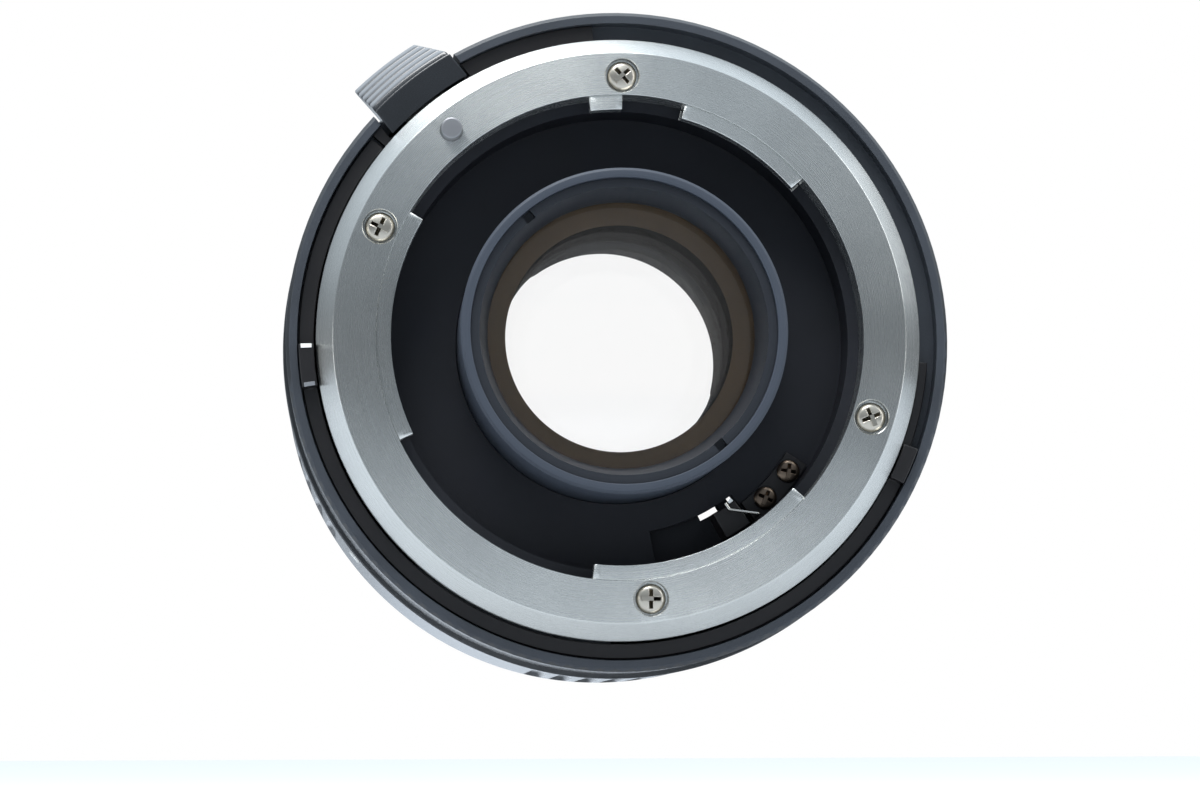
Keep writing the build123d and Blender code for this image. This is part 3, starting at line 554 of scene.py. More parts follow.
def placed(piece: Piece, slot: str, *nodes: str, body: Body = Body.FIXED) -> Piece:
    """Put a finished piece on its body and let it stand for the frame's nodes.

    Args:
        piece: The finished piece.
        slot: The record's material slot; not used.
        *nodes: The nodes that it replaces.
        body: The body that carries it.

    Returns:
        The piece.
    """
    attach(piece, body.value)
    if nodes:
        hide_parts(*nodes)
    LOG.info("%s on %s, %d faces", piece.name, body.value, len(piece.data.polygons))
    return piece


def eased(node: str, name: str, finish: Finish, width: float, slot: str, body: Body = Body.FIXED) -> None:
    """Put a copy of a frame node, its edges broken by a width in millimetres, on its body."""
    placed(softened(node, name, finish, width), slot, node, body=body)


def repaint(piece: Piece, finish: Finish, chosen: Callable[[bpy.types.MeshPolygon], bool]) -> None:
    """Give a second finish to the faces of a piece for which a test holds.

    Args:
        piece: The piece.
        finish: The second finish.
        chosen: The test.
    """
    piece.data.materials.append(finish.build())
    for face in piece.data.polygons:
        face.material_index = int(chosen(face))


def dress(finish: Finish, *nodes: str) -> None:
    """Give frame nodes that stay as they are their material.

    Args:
        finish: Their finish.
        *nodes: The nodes.
    """
    for node in nodes:
        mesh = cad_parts[node].data
        mesh.materials.clear()
        mesh.materials.append(finish.build())
        LOG.info("%s keeps its form, in %s", node, finish.name)


# Geometry Nodes


def open_tree(name: str, **inputs: str) -> tuple[Tree, bpy.types.NodeOutputs]:
    """Open a Geometry Nodes tree with geometry going in and out.

    Args:
        name: The tree's name.
        **inputs: Further inputs, each with the kind of its socket.

    Returns:
        The tree, and the sockets of its inputs.
    """
    tree = bpy.data.node_groups.new(name, "GeometryNodeTree")
    for label, kind in {"Geometry": "Geometry", **inputs}.items():
        tree.interface.new_socket(label, in_out="INPUT", socket_type=f"NodeSocket{kind}")
    tree.interface.new_socket("Geometry", in_out="OUTPUT", socket_type="NodeSocketGeometry")
    return tree, add_node(tree, "NodeGroupInput").outputs


def close_tree(tree: Tree, geometry: Socket, finish: Socket) -> None:
    """Set the material on a tree's plain geometry, and send it out."""
    dressed = add_node(tree, "GeometryNodeSetMaterial", {"Geometry": geometry, "Material": finish})
    add_node(tree, "NodeGroupOutput", {"Geometry": dressed.outputs[0]})


def screw_tree() -> Tree:
    """Build the tree that sets one screw on every point and makes it a plain mesh.

    Returns:
        The tree, with the screw, its material and its size as inputs.
    """
    tree, given = open_tree("screw_on_points", Screw="Object", Finish="Material", Size="Float")
    turn = add_node(tree, "GeometryNodeInputNamedAttribute", {"Name": "slot_turn"}, data_type="FLOAT_VECTOR")
    one = add_node(tree, "GeometryNodeObjectInfo", {"Object": given["Screw"]})
    many = add_node(tree, "GeometryNodeInstanceOnPoints",
                    {"Points": given["Geometry"], "Instance": one.outputs["Geometry"],
                     "Rotation": turn.outputs["Attribute"], "Scale": given["Size"]})
    real = add_node(tree, "GeometryNodeRealizeInstances", {"Geometry": many.outputs[0]})
    close_tree(tree, real.outputs[0], given["Finish"])
    return tree


def rib_tree() -> Tree:
    """Build the tree that repeats one rib section around the axis, past the smooth sector.

    Returns:
        The tree, with the smooth sector, the rib count, their pitch and the material as inputs.
    """
    tree, given = open_tree("ribs_round_the_axis", Smooth="Object", Count="Int", Pitch="Float", Finish="Material")
    still = add_node(tree, "FunctionNodeInputVector", vector=(0, 0, 0))
    spots = add_node(tree, "GeometryNodePoints", {"Count": given["Count"], "Position": still.outputs[0]})
    number = add_node(tree, "GeometryNodeInputIndex")
    angle = math_node(tree, "MULTIPLY", number.outputs[0], given["Pitch"])
    turn = add_node(tree, "ShaderNodeCombineXYZ", {"Y": angle})
    many = add_node(tree, "GeometryNodeInstanceOnPoints",
                    {"Points": spots.outputs[0], "Instance": given["Geometry"], "Rotation": turn.outputs[0]})
    plain = add_node(tree, "GeometryNodeObjectInfo", {"Object": given["Smooth"]})
    both = add_node(tree, "GeometryNodeJoinGeometry")
    tree.links.new(many.outputs[0], both.inputs[0])
    tree.links.new(plain.outputs["Geometry"], both.inputs[0])
    real = add_node(tree, "GeometryNodeRealizeInstances", {"Geometry": both.outputs[0]})
    welded = add_node(tree, "GeometryNodeMergeByDistance", {"Geometry": real.outputs[0], "Distance": MERGE * MM})
    close_tree(tree, welded.outputs[0], given["Finish"])
    return tree


def run_tree(piece: Piece, tree: Tree, values: dict[str, object]) -> Piece:
    """Run a Geometry Nodes tree on a piece and keep its result as a plain mesh.

    Args:
        piece: The object that the tree starts from.
        tree: The tree.
        values: Input names and their values.

    Returns:
        The piece with its new mesh.
    """
    modifier = piece.modifiers.new(tree.name, "NODES")
    modifier.node_group = tree
    for item in tree.interface.items_tree:
        if item.in_out == "INPUT" and item.name in values:
            modifier[item.identifier] = values[item.name]
    baked(piece)
    piece.data.shade_smooth()
    piece.data.set_sharp_from_angle(angle=math.radians(SHARP_ANGLE))
    return piece


@dataclass
class ScrewSet:
    """Cross-head screws of one size on one circle."""

    name: str
    node: str
    circle: float
    angles: tuple[float, ...]
    top_y: float
    head: float
    height: float
    shank: float
    length: float
    body: Body = Body.FIXED
    finish: Finish = NICKEL
    slot: str = "nickel_screw"
    faces_rear: bool = False
    cross_width: float = 0.4
    cross_depth: float = 0.75
    crown_share: float = 0.22
    crown_reach_share: float = 0.86
    crown_rim_share: float = 1.7
    crown_steps: int = 5
    rim_edge: float = 0.12
    thread_pitch: float = 0.35
    thread_start: float = 0.1
    thread_flank: float = 0.17
    turn_share: float = 1.7
    first_turn: float = 20.0
    root_share: float = 0.86
    tip_share: float = 0.8
    cross_reach_share: float = 0.65
    cross_end_depth_share: float = 0.4
    cross_end_width_share: float = 0.46

    def template(self) -> Piece:
        """Build one screw at the origin, its head's top at y = 0 and its shank towards +Y.

        Returns:
            The screw, which its set repeats.
        """
        crown = self.height * self.crown_share
        outline = [(0.0, 0.0)]
        for step in range(1, self.crown_steps + 1):
            share = step / self.crown_steps
            outline.append((self.head * self.crown_reach_share * share, crown * share ** 2))
        outline += rounded([(self.head, crown * self.crown_rim_share), (self.head, self.height)], self.rim_edge)
        outline += [(self.shank, self.height + self.thread_start / 2)]
        for index in range(int((self.length - self.height) / self.thread_pitch)):
            y = self.height + self.thread_start + index * self.thread_pitch
            outline += [(self.shank, y), (self.shank * self.root_share, y + self.thread_flank)]
        outline += [(self.shank * self.tip_share, self.length), (0.0, self.length)]
        blank = lathe("screw_blank", outline, self.finish, step=9.0)
        for turn in (0.0, 90.0, 180.0, 270.0):
            bm = bmesh.new()
            for corner in bmesh.ops.create_cube(bm, size=2.0)["verts"]:
                outer = corner.co.x > 0
                deep = self.cross_depth * (self.cross_end_depth_share if outer else 1.0)
                half = self.cross_width * (self.cross_end_width_share if outer else 0.5)
                corner.co = Vector((self.head * self.cross_reach_share if outer else -self.cross_width * 0.5,
                                    deep if corner.co.y > 0 else -OVERRUN / 2,
                                    math.copysign(half, corner.co.z))) * MM
            bmesh.ops.transform(bm, matrix=Matrix.Rotation(math.radians(turn), 4, "Y"), verts=bm.verts)
            # Each cutter carries the nickel darkened as painted shade for the cross
            cut(blank, finished_mesh(bm, "cross_cutter", SHADED_NICKEL))
        return blank

    def build(self) -> None:
        """Set the screws on their circle, each with its cross turned by a different angle."""
        template = self.template()
        mesh = bpy.data.meshes.new(self.name)
        mesh.from_pydata([turned(self.circle, angle, self.top_y) for angle in self.angles], [], [])
        turns = mesh.attributes.new("slot_turn", "FLOAT_VECTOR", "POINT")
        flip = math.pi if self.faces_rear else 0.0
        for index, angle in enumerate(self.angles):
            turns.data[index].vector = (flip, math.radians(self.first_turn - angle * self.turn_share), 0.0)
        piece = linked(self.name, mesh)
        run_tree(piece, screw_tree(), {"Screw": template, "Finish": self.finish.build(), "Size": 1.0})
        bpy.data.objects.remove(template)
        placed(piece, self.slot, self.node, body=self.body)


@dataclass
class LensSocket:
    """The lens-side bayonet: flange, claws, leaf springs, floor, bracket and wire."""

    flange_y: float = FLANGE_Y
    throat: float = 22.0
    recess: float = 23.45
    face: float = 27.57
    outer: float = 29.2
    bevel_drop: float = 1.9
    thickness: float = 3.4
    claw_drop: float = 0.15
    claw_back: float = 1.6
    claw_edge: float = 0.14
    claw_root: float = 0.04
    claws: tuple[Point, ...] = ((149.5, 205.5), (263.1, 318.7), (41.0, 74.4), (89.4, 97.5))
    screw_circle: float = 25.35
    screw_angles: tuple[float, ...] = (89.5, 155.7, 276.3, 342.2)
    seat: float = 1.65
    seat_depth: float = 1.05
    shank_hole: float = 0.9
    pin_hole: float = 1.1
    edge: float = 0.07

    def flange(self) -> Piece:
        """Turn the flange and its claws, and cut the screw seats and the pin hole.

        Returns:
            The flange with its claws.
        """
        front = self.flange_y
        back = front + self.thickness
        corners = [(self.recess, front), (self.face, front), (self.outer, front + self.bevel_drop),
                   (self.outer, back), (self.recess, back)]
        ring = lathe("flange_ring", rounded(corners, self.edge), STAINLESS, step=1.0)
        reach = self.seat + self.edge
        through = self.thickness + OVERRUN
        seat = [(0.0, -OVERRUN), (reach, -OVERRUN), (reach, 0.0), (self.seat, self.edge),
                (self.seat, self.seat_depth), (self.shank_hole, self.seat_depth), (self.shank_hole, through),
                (0.0, through)]
        for angle in self.screw_angles:
            cut(ring, stud("seat_cutter", seat, STAINLESS, self.screw_circle, angle, front))
        hole = [(0.0, -OVERRUN), (self.pin_hole, -OVERRUN), (self.pin_hole, through), (0.0, through)]
        cut(ring, stud("pin_cutter", hole, STAINLESS, PIN_CIRCLE, PIN_ANGLE, front))
        root = self.recess + self.claw_root
        outline = [(self.throat, front + self.claw_drop), (root, front + self.claw_drop),
                   (root, front + self.claw_back), (self.throat, front + self.claw_back)]
        claws = [broken(lathe("claw", outline, STAINLESS, start, end, 1.0), self.claw_edge, SHARP_ANGLE)
                 for start, end in self.claws]
        return joined("bayonet_flange", STAINLESS, [ring] + claws)

    def build(self) -> None:
        """Build the flange and everything that lies in the socket."""
        placed(self.flange(), "turned_stainless", "lens_mount")
        eased("bayonet_leaf_springs", "claw_leaf_springs", SPRING, 0.03, "spring_steel")
        eased("socket_floor", "socket_floor_plate", DEAD_BLACK, 0.05, "matte_black_alloy")
        eased("lever_bracket", "lever_spring_bracket", COUPLING_BLACK, 0.05, "brown_black_anodised")
        dress(DEAD_BLACK, "front_housing", "rear_housing", "tube_carrier")
        dress(SPRING, "lever_return_spring")
        ScrewSet("flange_screws", "lens_mount_screws", circle=self.screw_circle, angles=self.screw_angles,
                 top_y=self.flange_y + 0.1, head=1.42, height=0.9, shank=0.85, length=5.2).build()
        # The socket screws take the darker, browner nickel
        ScrewSet("bracket_screws", "lever_bracket_screws", circle=21.0, angles=(314.2, 323.7),
                 top_y=self.flange_y + 6.85, head=1.12, height=0.55, shank=0.6, length=1.9,
                 cross_width=0.36, cross_depth=0.5, finish=DARK_BROWN_NICKEL).build()


@dataclass
class OuterShell:
    """The black rim, the ribbed ring and the rear barrel."""

    outward_share: float = 0.7
    inner: float = 30.6
    grip_front: float = 13.0
    grip_length: float = 22.0
    grip_radius: float = 32.55
    edge: float = 0.12
    land: float = 0.7
    run_out: float = 0.45
    rib_count: int = 77
    rib_steps: int = 14
    rib_depth: float = 0.38
    groove_share: float = 0.35
    groove_gain: float = 1.2
    smooth_start: float = 213.5
    smooth_angle: float = 44.0
    barrel_front_radius: float = 31.6
    barrel_rear_radius: float = 31.3
    barrel_end: float = -4.7
    barrel_edge: float = 0.3

    def build(self) -> None:
        """Build the shells from the rim to the rear barrel."""
        rim = softened("front_ring", "rim_ring", RIM_PAINT, 0.14)
        repaint(rim, GRIP_PAINT, self.outward)
        placed(rim, "black_paint_matte", "front_ring")
        eased("guide_plates", "release_guide_plates", COUPLING_BLACK, 0.06, "brown_black_anodised")
        placed(self.grip(), "black_paint_satin", "grip_ring")
        placed(self.barrel(), "black_paint_satin", "rear_barrel")
        eased("barrel_set_screws", "barrel_pins", BLUED, 0.03, "blackened_screw")
        eased("index_beads", "alignment_beads", WHITE_PAINT, 0.12, "bead_paint")

    def outward(self, face: bpy.types.MeshPolygon) -> bool:
        """Tell whether a face looks away from the axis."""
        away = face.normal.x * face.center.x + face.normal.z * face.center.z
        return away > self.outward_share * math.hypot(face.center.x, face.center.z)

    def grip(self) -> Piece:
        """Repeat one rib section around the ring, and close it with the smooth sector.

        Returns:
            The ribbed ring.
        """
        pitch = 360.0 / self.rib_count
        count = sum(1 for index in range(self.rib_count)
                    if self.smooth_start - pitch * (index + 0.5) > self.smooth_start + self.smooth_angle - 360.0)
        front = FLANGE_Y + self.grip_front
        back = front + self.grip_length
        stations = [(0.0, 0.0), (self.edge, 0.0), (self.land, 0.0), (self.land + self.run_out, 1.0)]
        ends = [(self.grip_length - distance, level) for distance, level in reversed(stations)]
        across = self.rib_steps
        bm = bmesh.new()
        rows = []
        for distance, level in stations + ends:
            row = []
            for step in range(across + 1):
                share = step / across
                groove = max(0.0, 1.0 - (abs(share - 0.5) / self.groove_share) ** 2)
                drop = self.rib_depth * min(1.0, groove * self.groove_gain) * level
                if distance in (0.0, self.grip_length):
                    drop = self.edge
                angle = self.smooth_start - pitch * share
                row.append(bm.verts.new(turned(self.grip_radius - drop, angle, front + distance)))
            rows.append(row)
        for y, place in ((front, 0), (back, len(rows) + 1)):
            rows.insert(place, [bm.verts.new(turned(self.inner, self.smooth_start - pitch * step / across, y))
                                for step in range(across + 1)])
        for one, two in zip(rows, rows[1:] + rows[:1]):
            bridge(bm, one, two, closed=False)
        piece = finished_mesh(bm, "ribbed_ring", GRIP_PAINT)
        smooth_end = self.smooth_start - pitch * count + 360.0
        eased_radius = self.grip_radius - self.edge
        outline = [(self.inner, front), (eased_radius, front), (self.grip_radius, front + self.edge),
                   (self.grip_radius, back - self.edge), (eased_radius, back), (self.inner, back)]
        smooth = lathe("smooth_sector", outline, GRIP_PAINT, self.smooth_start, smooth_end)
        run_tree(piece, rib_tree(), {"Smooth": smooth, "Count": count, "Pitch": math.radians(pitch),
                                     "Finish": GRIP_PAINT.build()})
        bpy.data.objects.remove(smooth)
        return piece

    def barrel(self) -> Piece:
        """Turn the rear barrel with its slight taper and rounded ends."""
        front = FLANGE_Y + self.grip_front + self.grip_length
        outline = rounded([(self.inner, front), (self.barrel_front_radius, front),
                           (self.barrel_rear_radius, self.barrel_end), (self.inner, self.barrel_end)],
                          self.barrel_edge)
        return lathe("rear_barrel_shell", outline, GRIP_PAINT)


@dataclass
class ReleaseSlide:
    """The ribbed slide, its arm, its spring and the lock pin."""

    angle: float = 128.8
    front: float = FLANGE_Y + 2.3
    length: float = 11.0
    foot_length: float = 5.8
    base_radius: float = 29.56
    cap_radius: float = 32.85
    front_radius: float = 32.3
    rear_radius: float = 35.95
    front_width: float = 9.2
    rear_width: float = 7.4
    corner: float = 1.6
    rib_margin: float = 0.5
    rib_count: int = 5
    rib_height: float = 0.42
    groove: float = 0.12
    rounded_above: float = 0.6
    pin_radius: float = 1.05
    pin_length: float = 4.7
    pin_proud: float = 1.3
    travel: float = 1.8
    spring_length: float = 4.6
    spring_seat: float = -39.5

    def outline(self) -> list[Point]:
        """Give the knob's side outline as (radius, y), with a flat tread for each rib.

        Returns:
            The outline, in millimetres.
        """
        back = self.front + self.length
        first = self.front + self.rib_margin
        last = back - self.corner
        slope = (self.rear_radius - self.front_radius) / (last - first)
        pitch = (last - first) / self.rib_count
        rise = [(self.groove / 2, 0.0), (self.groove * 0.7, 0.85), (self.groove, 0.97)]
        tread = [(0.0, 0.0), *rise, (0.5, 1.0), *((1 - share, lift) for share, lift in reversed(rise))]
        points = [(self.base_radius, self.front)]
        points += [(self.front_radius - inset, self.front + y) for inset, y in ((0.2, 0.0), (0.06, 0.06), (0.0, 0.2))]
        for index in range(self.rib_count):
            start = first + pitch * index
            for share, lift in tread:
                y = start + pitch * share
                points.append((self.front_radius + slope * (y - first) + lift * self.rib_height, y))
        foot_back = self.front + self.foot_length
        points += [(self.rear_radius, last), (self.rear_radius - 0.1, last + 0.7),
                   (self.rear_radius - 0.35, back - 0.35), (self.rear_radius - 0.8, back),
                   (self.cap_radius, back), (self.cap_radius, foot_back), (self.base_radius, foot_back)]
        return points

    def half_width(self, y: float) -> float:
        """Give half the knob's width at a place along the axis, with its rear corners rounded.

        Args:
            y: The place, in millimetres.

        Returns:
            Half the width, in millimetres.
        """
        along = y - self.front
        width = (self.front_width + (self.rear_width - self.front_width) * along / self.length) / 2
        into = max(0.0, along - (self.length - self.corner))
        return width - self.corner + math.sqrt(max(0.0, self.corner ** 2 - into ** 2))

    def knob(self) -> Piece:
        """Build the knob from sections across its width, each following the barrel's curve.

        Returns:
            The knob.
        """
        outline = self.outline()
        side = [(0.96, 0.0), (0.985, 0.05), (1.0, 0.16)]
        shares = [(-share, drop) for share, drop in reversed(side)]
        shares += [(step / 8, 0.0) for step in range(-7, 8)] + side
        turn = Matrix.Rotation(math.radians(-self.angle), 3, "Y")
        bm = bmesh.new()
        sections = []
        for share, drop in shares:
            section = []
            for radius, y in outline:
                across = share * self.half_width(y)
                above = radius - (drop if radius > self.cap_radius - self.rounded_above else 0.0)
                spot = Vector((math.sqrt(above ** 2 - across ** 2), y, across)) * MM
                section.append(bm.verts.new(turn @ spot))
            sections.append(section)
        for one, two in zip(sections, sections[1:]):
            bridge(bm, one, two)
        foot_back = self.front + self.foot_length
        heel = len(outline) - 1
        notch = heel - 1
        split = max(index for index in range(1, notch) if outline[index][1] <= foot_back)
        fans = [(heel, index, index + 1) for index in range(split)] + [(heel, split, notch)]
        fans += [(notch, index, index + 1) for index in range(split, notch - 1)]
        for end in (sections[0], sections[-1]):
            for fan in fans:
                bm.faces.new([end[index] for index in fan])
        return weighted(finished_mesh(bm, "release_slide_knob", ENAMEL))

    def build(self) -> None:
        """Build the slide and the pieces that move with it."""
        placed(self.knob(), "black_paint_satin", "release_button", body=Body.RELEASE)
        outline = [(0.0, 0.0)]
        outline += [(self.pin_radius - inset, y) for inset, y in ((0.22, 0.0), (0.18, 0.0), (0.05, 0.05), (0.0, 0.16))]
        outline += [(self.pin_radius, self.pin_length), (0.0, self.pin_length)]
        pin = stud("bayonet_lock_pin", outline, PIN_STEEL, PIN_CIRCLE, PIN_ANGLE, FLANGE_Y - self.pin_proud)
        placed(pin, "turned_stainless", "lock_pin", body=Body.RELEASE)
        dress(SPRING, "release_arm")
        bm = bmesh.new()
        bm.from_mesh(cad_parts["release_spring"].data)
        spring = placed(finished_mesh(bm, "slide_return_coil", SPRING), "spring_steel", "release_spring")
        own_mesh(spring)


@dataclass
class MeterCage:
    """The turning sector around the mount, its marks, bars and rear ring."""

    # Height below which the tab mark takes the grey painted reflection
    dim_reflection_z: float = -3.0

    def build(self) -> None:
        """Build the cage from the front sector to the rear ring."""
        eased("meter_ring_front", "follower_sector", COUPLING_BLACK, 0.1, "brown_black_anodised", Body.METER)
        # The upper tab mark is painted white as a highlight, the lower one grey as its dimmer reflection
        marks = softened("meter_tab_marks", "follower_tab_marks", WHITE_PAINT, 0.03)
        repaint(marks, GREY_PAINTED_REFLECTION, lambda face: face.center.z < self.dim_reflection_z * MM)
        placed(marks, "white_paint", "meter_tab_marks", body=Body.METER)
        eased("meter_ring_rear", "rear_coupling_ring", COUPLING_BLACK, 0.12, "brown_black_anodised", Body.METER)
        dress(COUPLING_BLACK, "meter_link_bars")
        ScrewSet("link_screws", "meter_link_screws", circle=29.8, angles=(171.0, 276.0), top_y=-1.3, head=0.75,
                 height=0.65, shank=0.5, length=4.5, cross_width=0.25, cross_depth=0.3,
                 body=Body.METER, faces_rear=True).build()


@dataclass
class StopDownLever:
    """The fork in the socket, its ring and the bar to the camera side."""

    def build(self) -> None:
        """Build the lever's pieces."""
        eased("stop_down_fork", "stop_down_block", COUPLING_BLACK, 0.12, "brown_black_anodised", Body.LEVER)
        eased("aperture_bar", "camera_side_bar", COUPLING_BLACK, 0.1, "brown_black_anodised", Body.LEVER)
        dress(DEAD_BLACK, "aperture_ring")


@dataclass
class Optics:
    """The blue-grey tube with its rings, elements and spacers."""

    seat_y: float = FLANGE_Y - 0.3
    clear: float = 11.6
    edge: float = 13.57
    elements: tuple[tuple[float, float, float], ...] = (
        (1.8, 0.5, -0.7), (1.6, -0.4, -0.5), (3.0, 0.8, 0.9), (1.5, -0.5, -0.6), (3.0, 0.7, 0.7))
    spacers: tuple[float, ...] = (4.4, 3.9, 4.0, 3.6)
    spacer_radius: float = 11.0
    cone_length: float = 1.0
    cone_edge: float = 0.15
    cone_seat: float = 0.3
    cone_faces: float = -0.5
    fit: float = 0.02
    curve_steps: int = 24
    profile: tuple[Point, ...] = (
        (14.6, -4.8), (15.3, -4.8), (15.55, -4.55), (15.55, 9.0), (17.0, 9.0), (17.0, 11.6), (18.0, 11.6),
        (18.0, 13.1), (16.2, 13.1), (16.2, 27.5), (18.0, 27.5), (18.0, 29.0), (17.0, 29.0), (17.0, 33.0),
        (13.6, 33.0), (13.6, -0.3), (14.6, -0.3))
    profile_edge: float = 0.07

    def build(self) -> None:
        """Build the tube, its rings and its glass."""
        placed(self.tube(), "blue_grey_anodised", "optical_tube")
        eased("front_retaining_ring", "glass_retaining_ring", RING_BLACK, 0.05, "blue_grey_anodised")
        eased("rear_retaining_ring", "rear_glass_ring", BORE_BLACK, 0.05, "matte_black_alloy")
        dress(DEAD_BLACK, "tube_lock_ring")
        y = self.seat_y
        for index, (thickness, front, rear_bulge) in enumerate(self.elements):
            glass = self.element(index, y, thickness, front, rear_bulge)
            placed(glass, "coated_glass", f"lens_element_{index + 1}")
            y += thickness
            if index < len(self.spacers):
                self.spacer(index + 1, y)
                y += self.spacers[index]

    def spacer(self, number: int, y: float) -> None:
        """Turn the first spacer with a lacquered cone at its front, or keep the frame's form.

        Args:
            number: Which spacer, counted from the lens side.
            y: Its front face.
        """
        node = f"lens_spacer_{number}"
        if number > 1:
            dress(BORE_BLACK, node)
            return
        back = y + self.spacers[0]
        cone_back = y + self.cone_length
        outline = [(self.edge + self.fit, y), (self.edge - self.cone_seat, y),
                   (self.spacer_radius + self.cone_edge, cone_back), (self.spacer_radius, cone_back + self.cone_edge),
                   (self.spacer_radius, back), (self.edge + self.fit, back)]
        piece = lathe("coned_spacer", outline, AMBER_BLACK)
        repaint(piece, BORE_BLACK, lambda face: face.normal.y > self.cone_faces)
        placed(piece, "matte_black_alloy", node)

    def tube(self) -> Piece:
        """Turn the tube from the collar in front of the flange to its rear thread."""
        corners = [(radius, FLANGE_Y + depth) for radius, depth in self.profile]
        return lathe("optical_tube_shell", rounded(corners, self.profile_edge), SLATE)

    def element(self, index: int, y: float, thickness: float, front: float, rear: float) -> Piece:
        """Turn one element with its two curved surfaces.

        Args:
            index: Which element, counted from the lens side.
            y: Its front rim face.
            thickness: Its thickness at the rim.
            front: How far its front surface bulges, hollow where negative.
            rear: How far its rear surface bulges, hollow where negative.

        Returns:
            The element.
        """
        steps = self.curve_steps
        back = y + thickness
        outline = [(self.edge, y), (self.edge, back)]
        for bulge, base, order, sign in ((rear, back, range(steps + 1), 1), (front, y, range(steps, -1, -1), -1)):
            curve = (self.clear ** 2 + bulge ** 2) / (2 * abs(bulge))
            for step in order:
                radius = self.clear * (1 - step / steps)
                sag = curve - math.sqrt(curve ** 2 - radius ** 2)
                outline.append((radius, base + sign * math.copysign(abs(bulge) - sag, bulge)))
        return lathe(f"glass_element_{index + 1}", outline, GLASS, step=2.0)


@dataclass
class CameraSide:
    """The male bayonet, its screws and the grooved light tube."""

    def build(self) -> None:
        """Build what shows from the camera side."""
        eased("rear_mount", "male_bayonet", STAINLESS, 0.08, "turned_stainless")
        eased("rear_light_tube", "grooved_light_tube", BORE_BLACK, 0.03, "matte_black_alloy")
        ScrewSet("rear_flange_screws", "rear_mount_screws", circle=26.25, angles=(20.0, 108.0, 200.0, 290.0),
                 top_y=-0.15, head=1.38, height=0.9, shank=0.85, length=3.6, faces_rear=True).build()


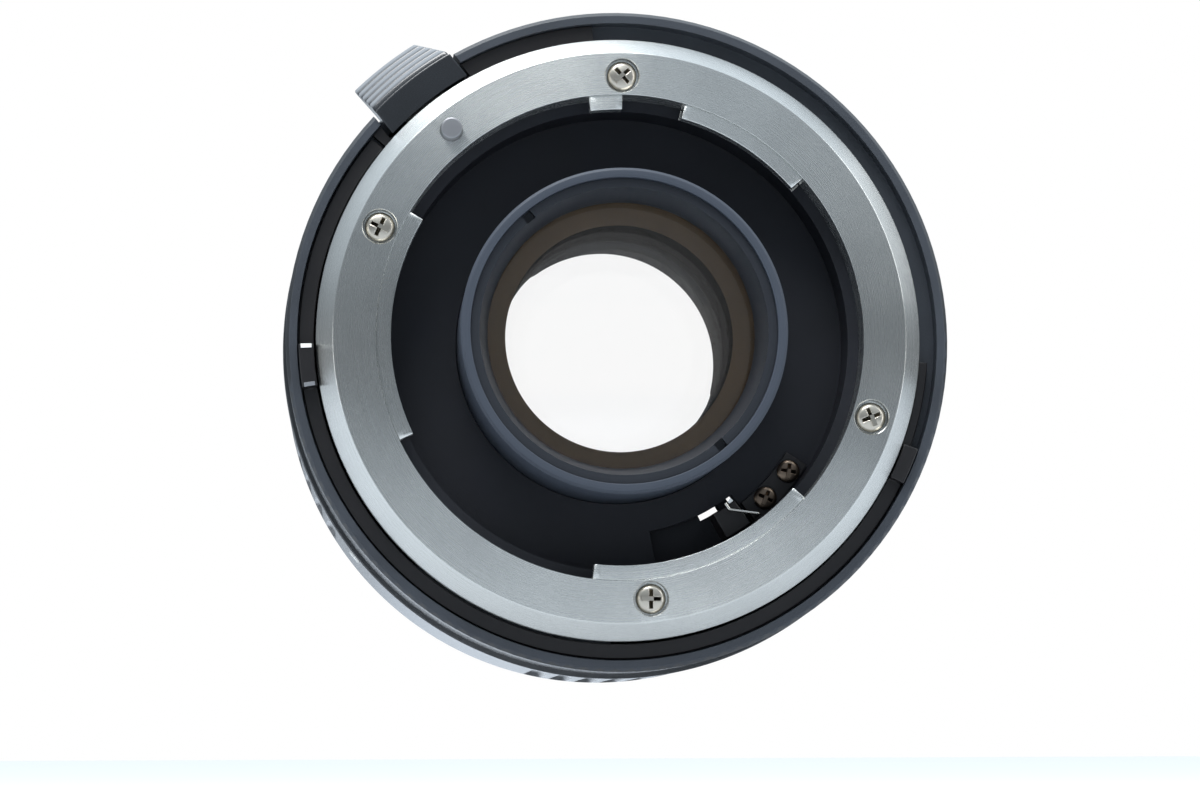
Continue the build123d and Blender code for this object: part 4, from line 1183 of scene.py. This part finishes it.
@dataclass
class Studio:
    """A pale floor and backdrop, soft lamps and the camera of the photograph."""

    aim: tuple[float, float, float] = (0.0723, 1.0, 0.1002)
    distance: float = 330.0
    pixels_per_mm: float = 10.4295
    centre_px: Point = (621.12, 335.73)
    image: Point = (1200.0, 797.0)
    sensor: float = 36.0
    floor_z: float = -48.0
    floor_half_size: Point = (1800.0, 1600.0)
    floor_shown: float = 0.42
    floor_mirrored: float = 0.12
    room: float = 0.2
    sky: float = 1.35
    bounce: float = 0.2
    backdrop: float = 0.5
    # Each lamp's place and size in millimetres, and its power in watts
    lamps: tuple[tuple[tuple[int, int, int], int, float], ...] = (
        ((-100, -220, 400), 300, 2.7), ((360, -200, 200), 240, 0.5),
        ((-380, -260, 0), 120, 0.16), ((380, -260, 0), 120, 0.16))

    def build(self) -> None:
        """Build the camera, the lamps, the world and the floor."""
        self.camera()
        self.floor()
        self.world()
        self.light()

    def camera(self) -> None:
        """Aim the camera along the line that the photograph was taken on."""
        turn = Vector((0, 1, 0)).rotation_difference(Vector(self.aim))
        rotation = turn.to_matrix() @ Matrix.Rotation(math.radians(90), 3, "X")
        right = rotation @ Vector((1, 0, 0))
        up = rotation @ Vector((0, 1, 0))
        forward = rotation @ Vector((0, 0, -1))
        side = (self.centre_px[0] - self.image[0] / 2) / self.pixels_per_mm
        rise = (self.image[1] / 2 - self.centre_px[1]) / self.pixels_per_mm
        target = Vector((0, FLANGE_Y, 0)) - right * side - up * rise
        data = bpy.data.cameras.new("photo_camera")
        data.sensor_width = self.sensor
        data.lens = self.pixels_per_mm * self.distance / self.image[0] * self.sensor
        data.clip_start = 10 * MM
        camera = linked("photo_camera", data)
        camera.matrix_world = Matrix.Translation((target - forward * self.distance) * MM) @ rotation.to_4x4()
        bpy.context.scene.camera = camera
        LOG.info("camera turned %.2f degrees off the axis", math.degrees(turn.angle))

    def floor(self) -> None:
        """Lay the floor under the object."""
        half_x, half_y = self.floor_half_size
        corners = [Vector((x, y, self.floor_z)) * MM for y in (-half_y, 0.0, half_y) for x in (-half_x, half_x)]
        mesh = bpy.data.meshes.new("pale_floor")
        mesh.from_pydata(corners, [], [(0, 1, 3, 2), (2, 3, 5, 4)])
        mesh.shade_smooth()
        material, shader = new_material("pale_paper", {
            "Base Color": linear("#b9bdc2"), "Roughness": 0.8, "Emission Color": linear("#f6f8fa")})
        tree = material.node_tree
        path = add_node(tree, "ShaderNodeLightPath").outputs
        mirrored = math_node(tree, "MULTIPLY", path["Is Glossy Ray"], self.floor_mirrored)
        shown = math_node(tree, "MULTIPLY", path["Is Camera Ray"], self.floor_shown)
        connect(tree, shader, {"Emission Strength": math_node(tree, "MAXIMUM", shown, mirrored)})
        mesh.materials.append(material)
        floor = linked("pale_floor", mesh)

    def world(self) -> None:
        """Light the object evenly, and show a white backdrop to the lens, to glass and to metal."""
        world = bpy.data.worlds.new("studio_world")
        bpy.context.scene.world = world
        world.use_nodes = True
        tree = world.node_tree
        path = add_node(tree, "ShaderNodeLightPath").outputs
        direct = math_node(tree, "LESS_THAN", path["Diffuse Depth"], 0.5)
        through = math_node(tree, "MULTIPLY", path["Is Transmission Ray"], direct)
        seen = math_node(tree, "MAXIMUM", path["Is Camera Ray"], through)
        where = add_node(tree, "ShaderNodeTexCoord").outputs["Generated"]
        axis = add_node(tree, "ShaderNodeSeparateXYZ", {0: where}).outputs
        parts = []
        for letter, start, end, low, high in (("Z", 0.1, 0.9, 0.0, self.sky), ("Z", -0.1, -0.9, 0.0, self.bounce),
                                              ("Y", 0.1, 0.7, self.room, self.backdrop)):
            ramp = add_node(tree, "ShaderNodeMapRange", {"Value": axis[letter], "From Min": start, "From Max": end,
                                                         "To Min": low, "To Max": high})
            parts.append(ramp.outputs[0])
        level = math_node(tree, "ADD", math_node(tree, "ADD", parts[0], parts[1]), parts[2])
        air = colour_mix(tree, seen, linear("#e6f1fc"), linear("#ffffff"))
        connect(tree, tree.nodes["Background"], {"Strength": math_node(tree, "MAXIMUM", seen, level), "Color": air})

    def light(self) -> None:
        """Hang the square soft lamps, each of them facing the object."""
        for index, (place, size, power) in enumerate(self.lamps):
            data = bpy.data.lights.new(f"softbox_{index + 1}", "AREA")
            data.size = size * MM
            data.energy = power
            lamp = linked(data.name, data)
            lamp.location = Vector(place) * MM
            lamp.visible_transmission = False
            lamp.rotation_euler = (Vector((0, FLANGE_Y * MM, 0)) - lamp.location).to_track_quat("-Z", "Y").to_euler()


def main() -> None:
    """Build the studio and every sub-assembly."""
    logging.basicConfig(level=logging.INFO)
    bpy.context.scene.view_settings.view_transform = "Standard"
    Studio().build()
    for part in (LensSocket(), OuterShell(), ReleaseSlide(), MeterCage(), StopDownLever(), Optics(), CameraSide()):
        part.build()


if __name__ == "__main__":
    main()
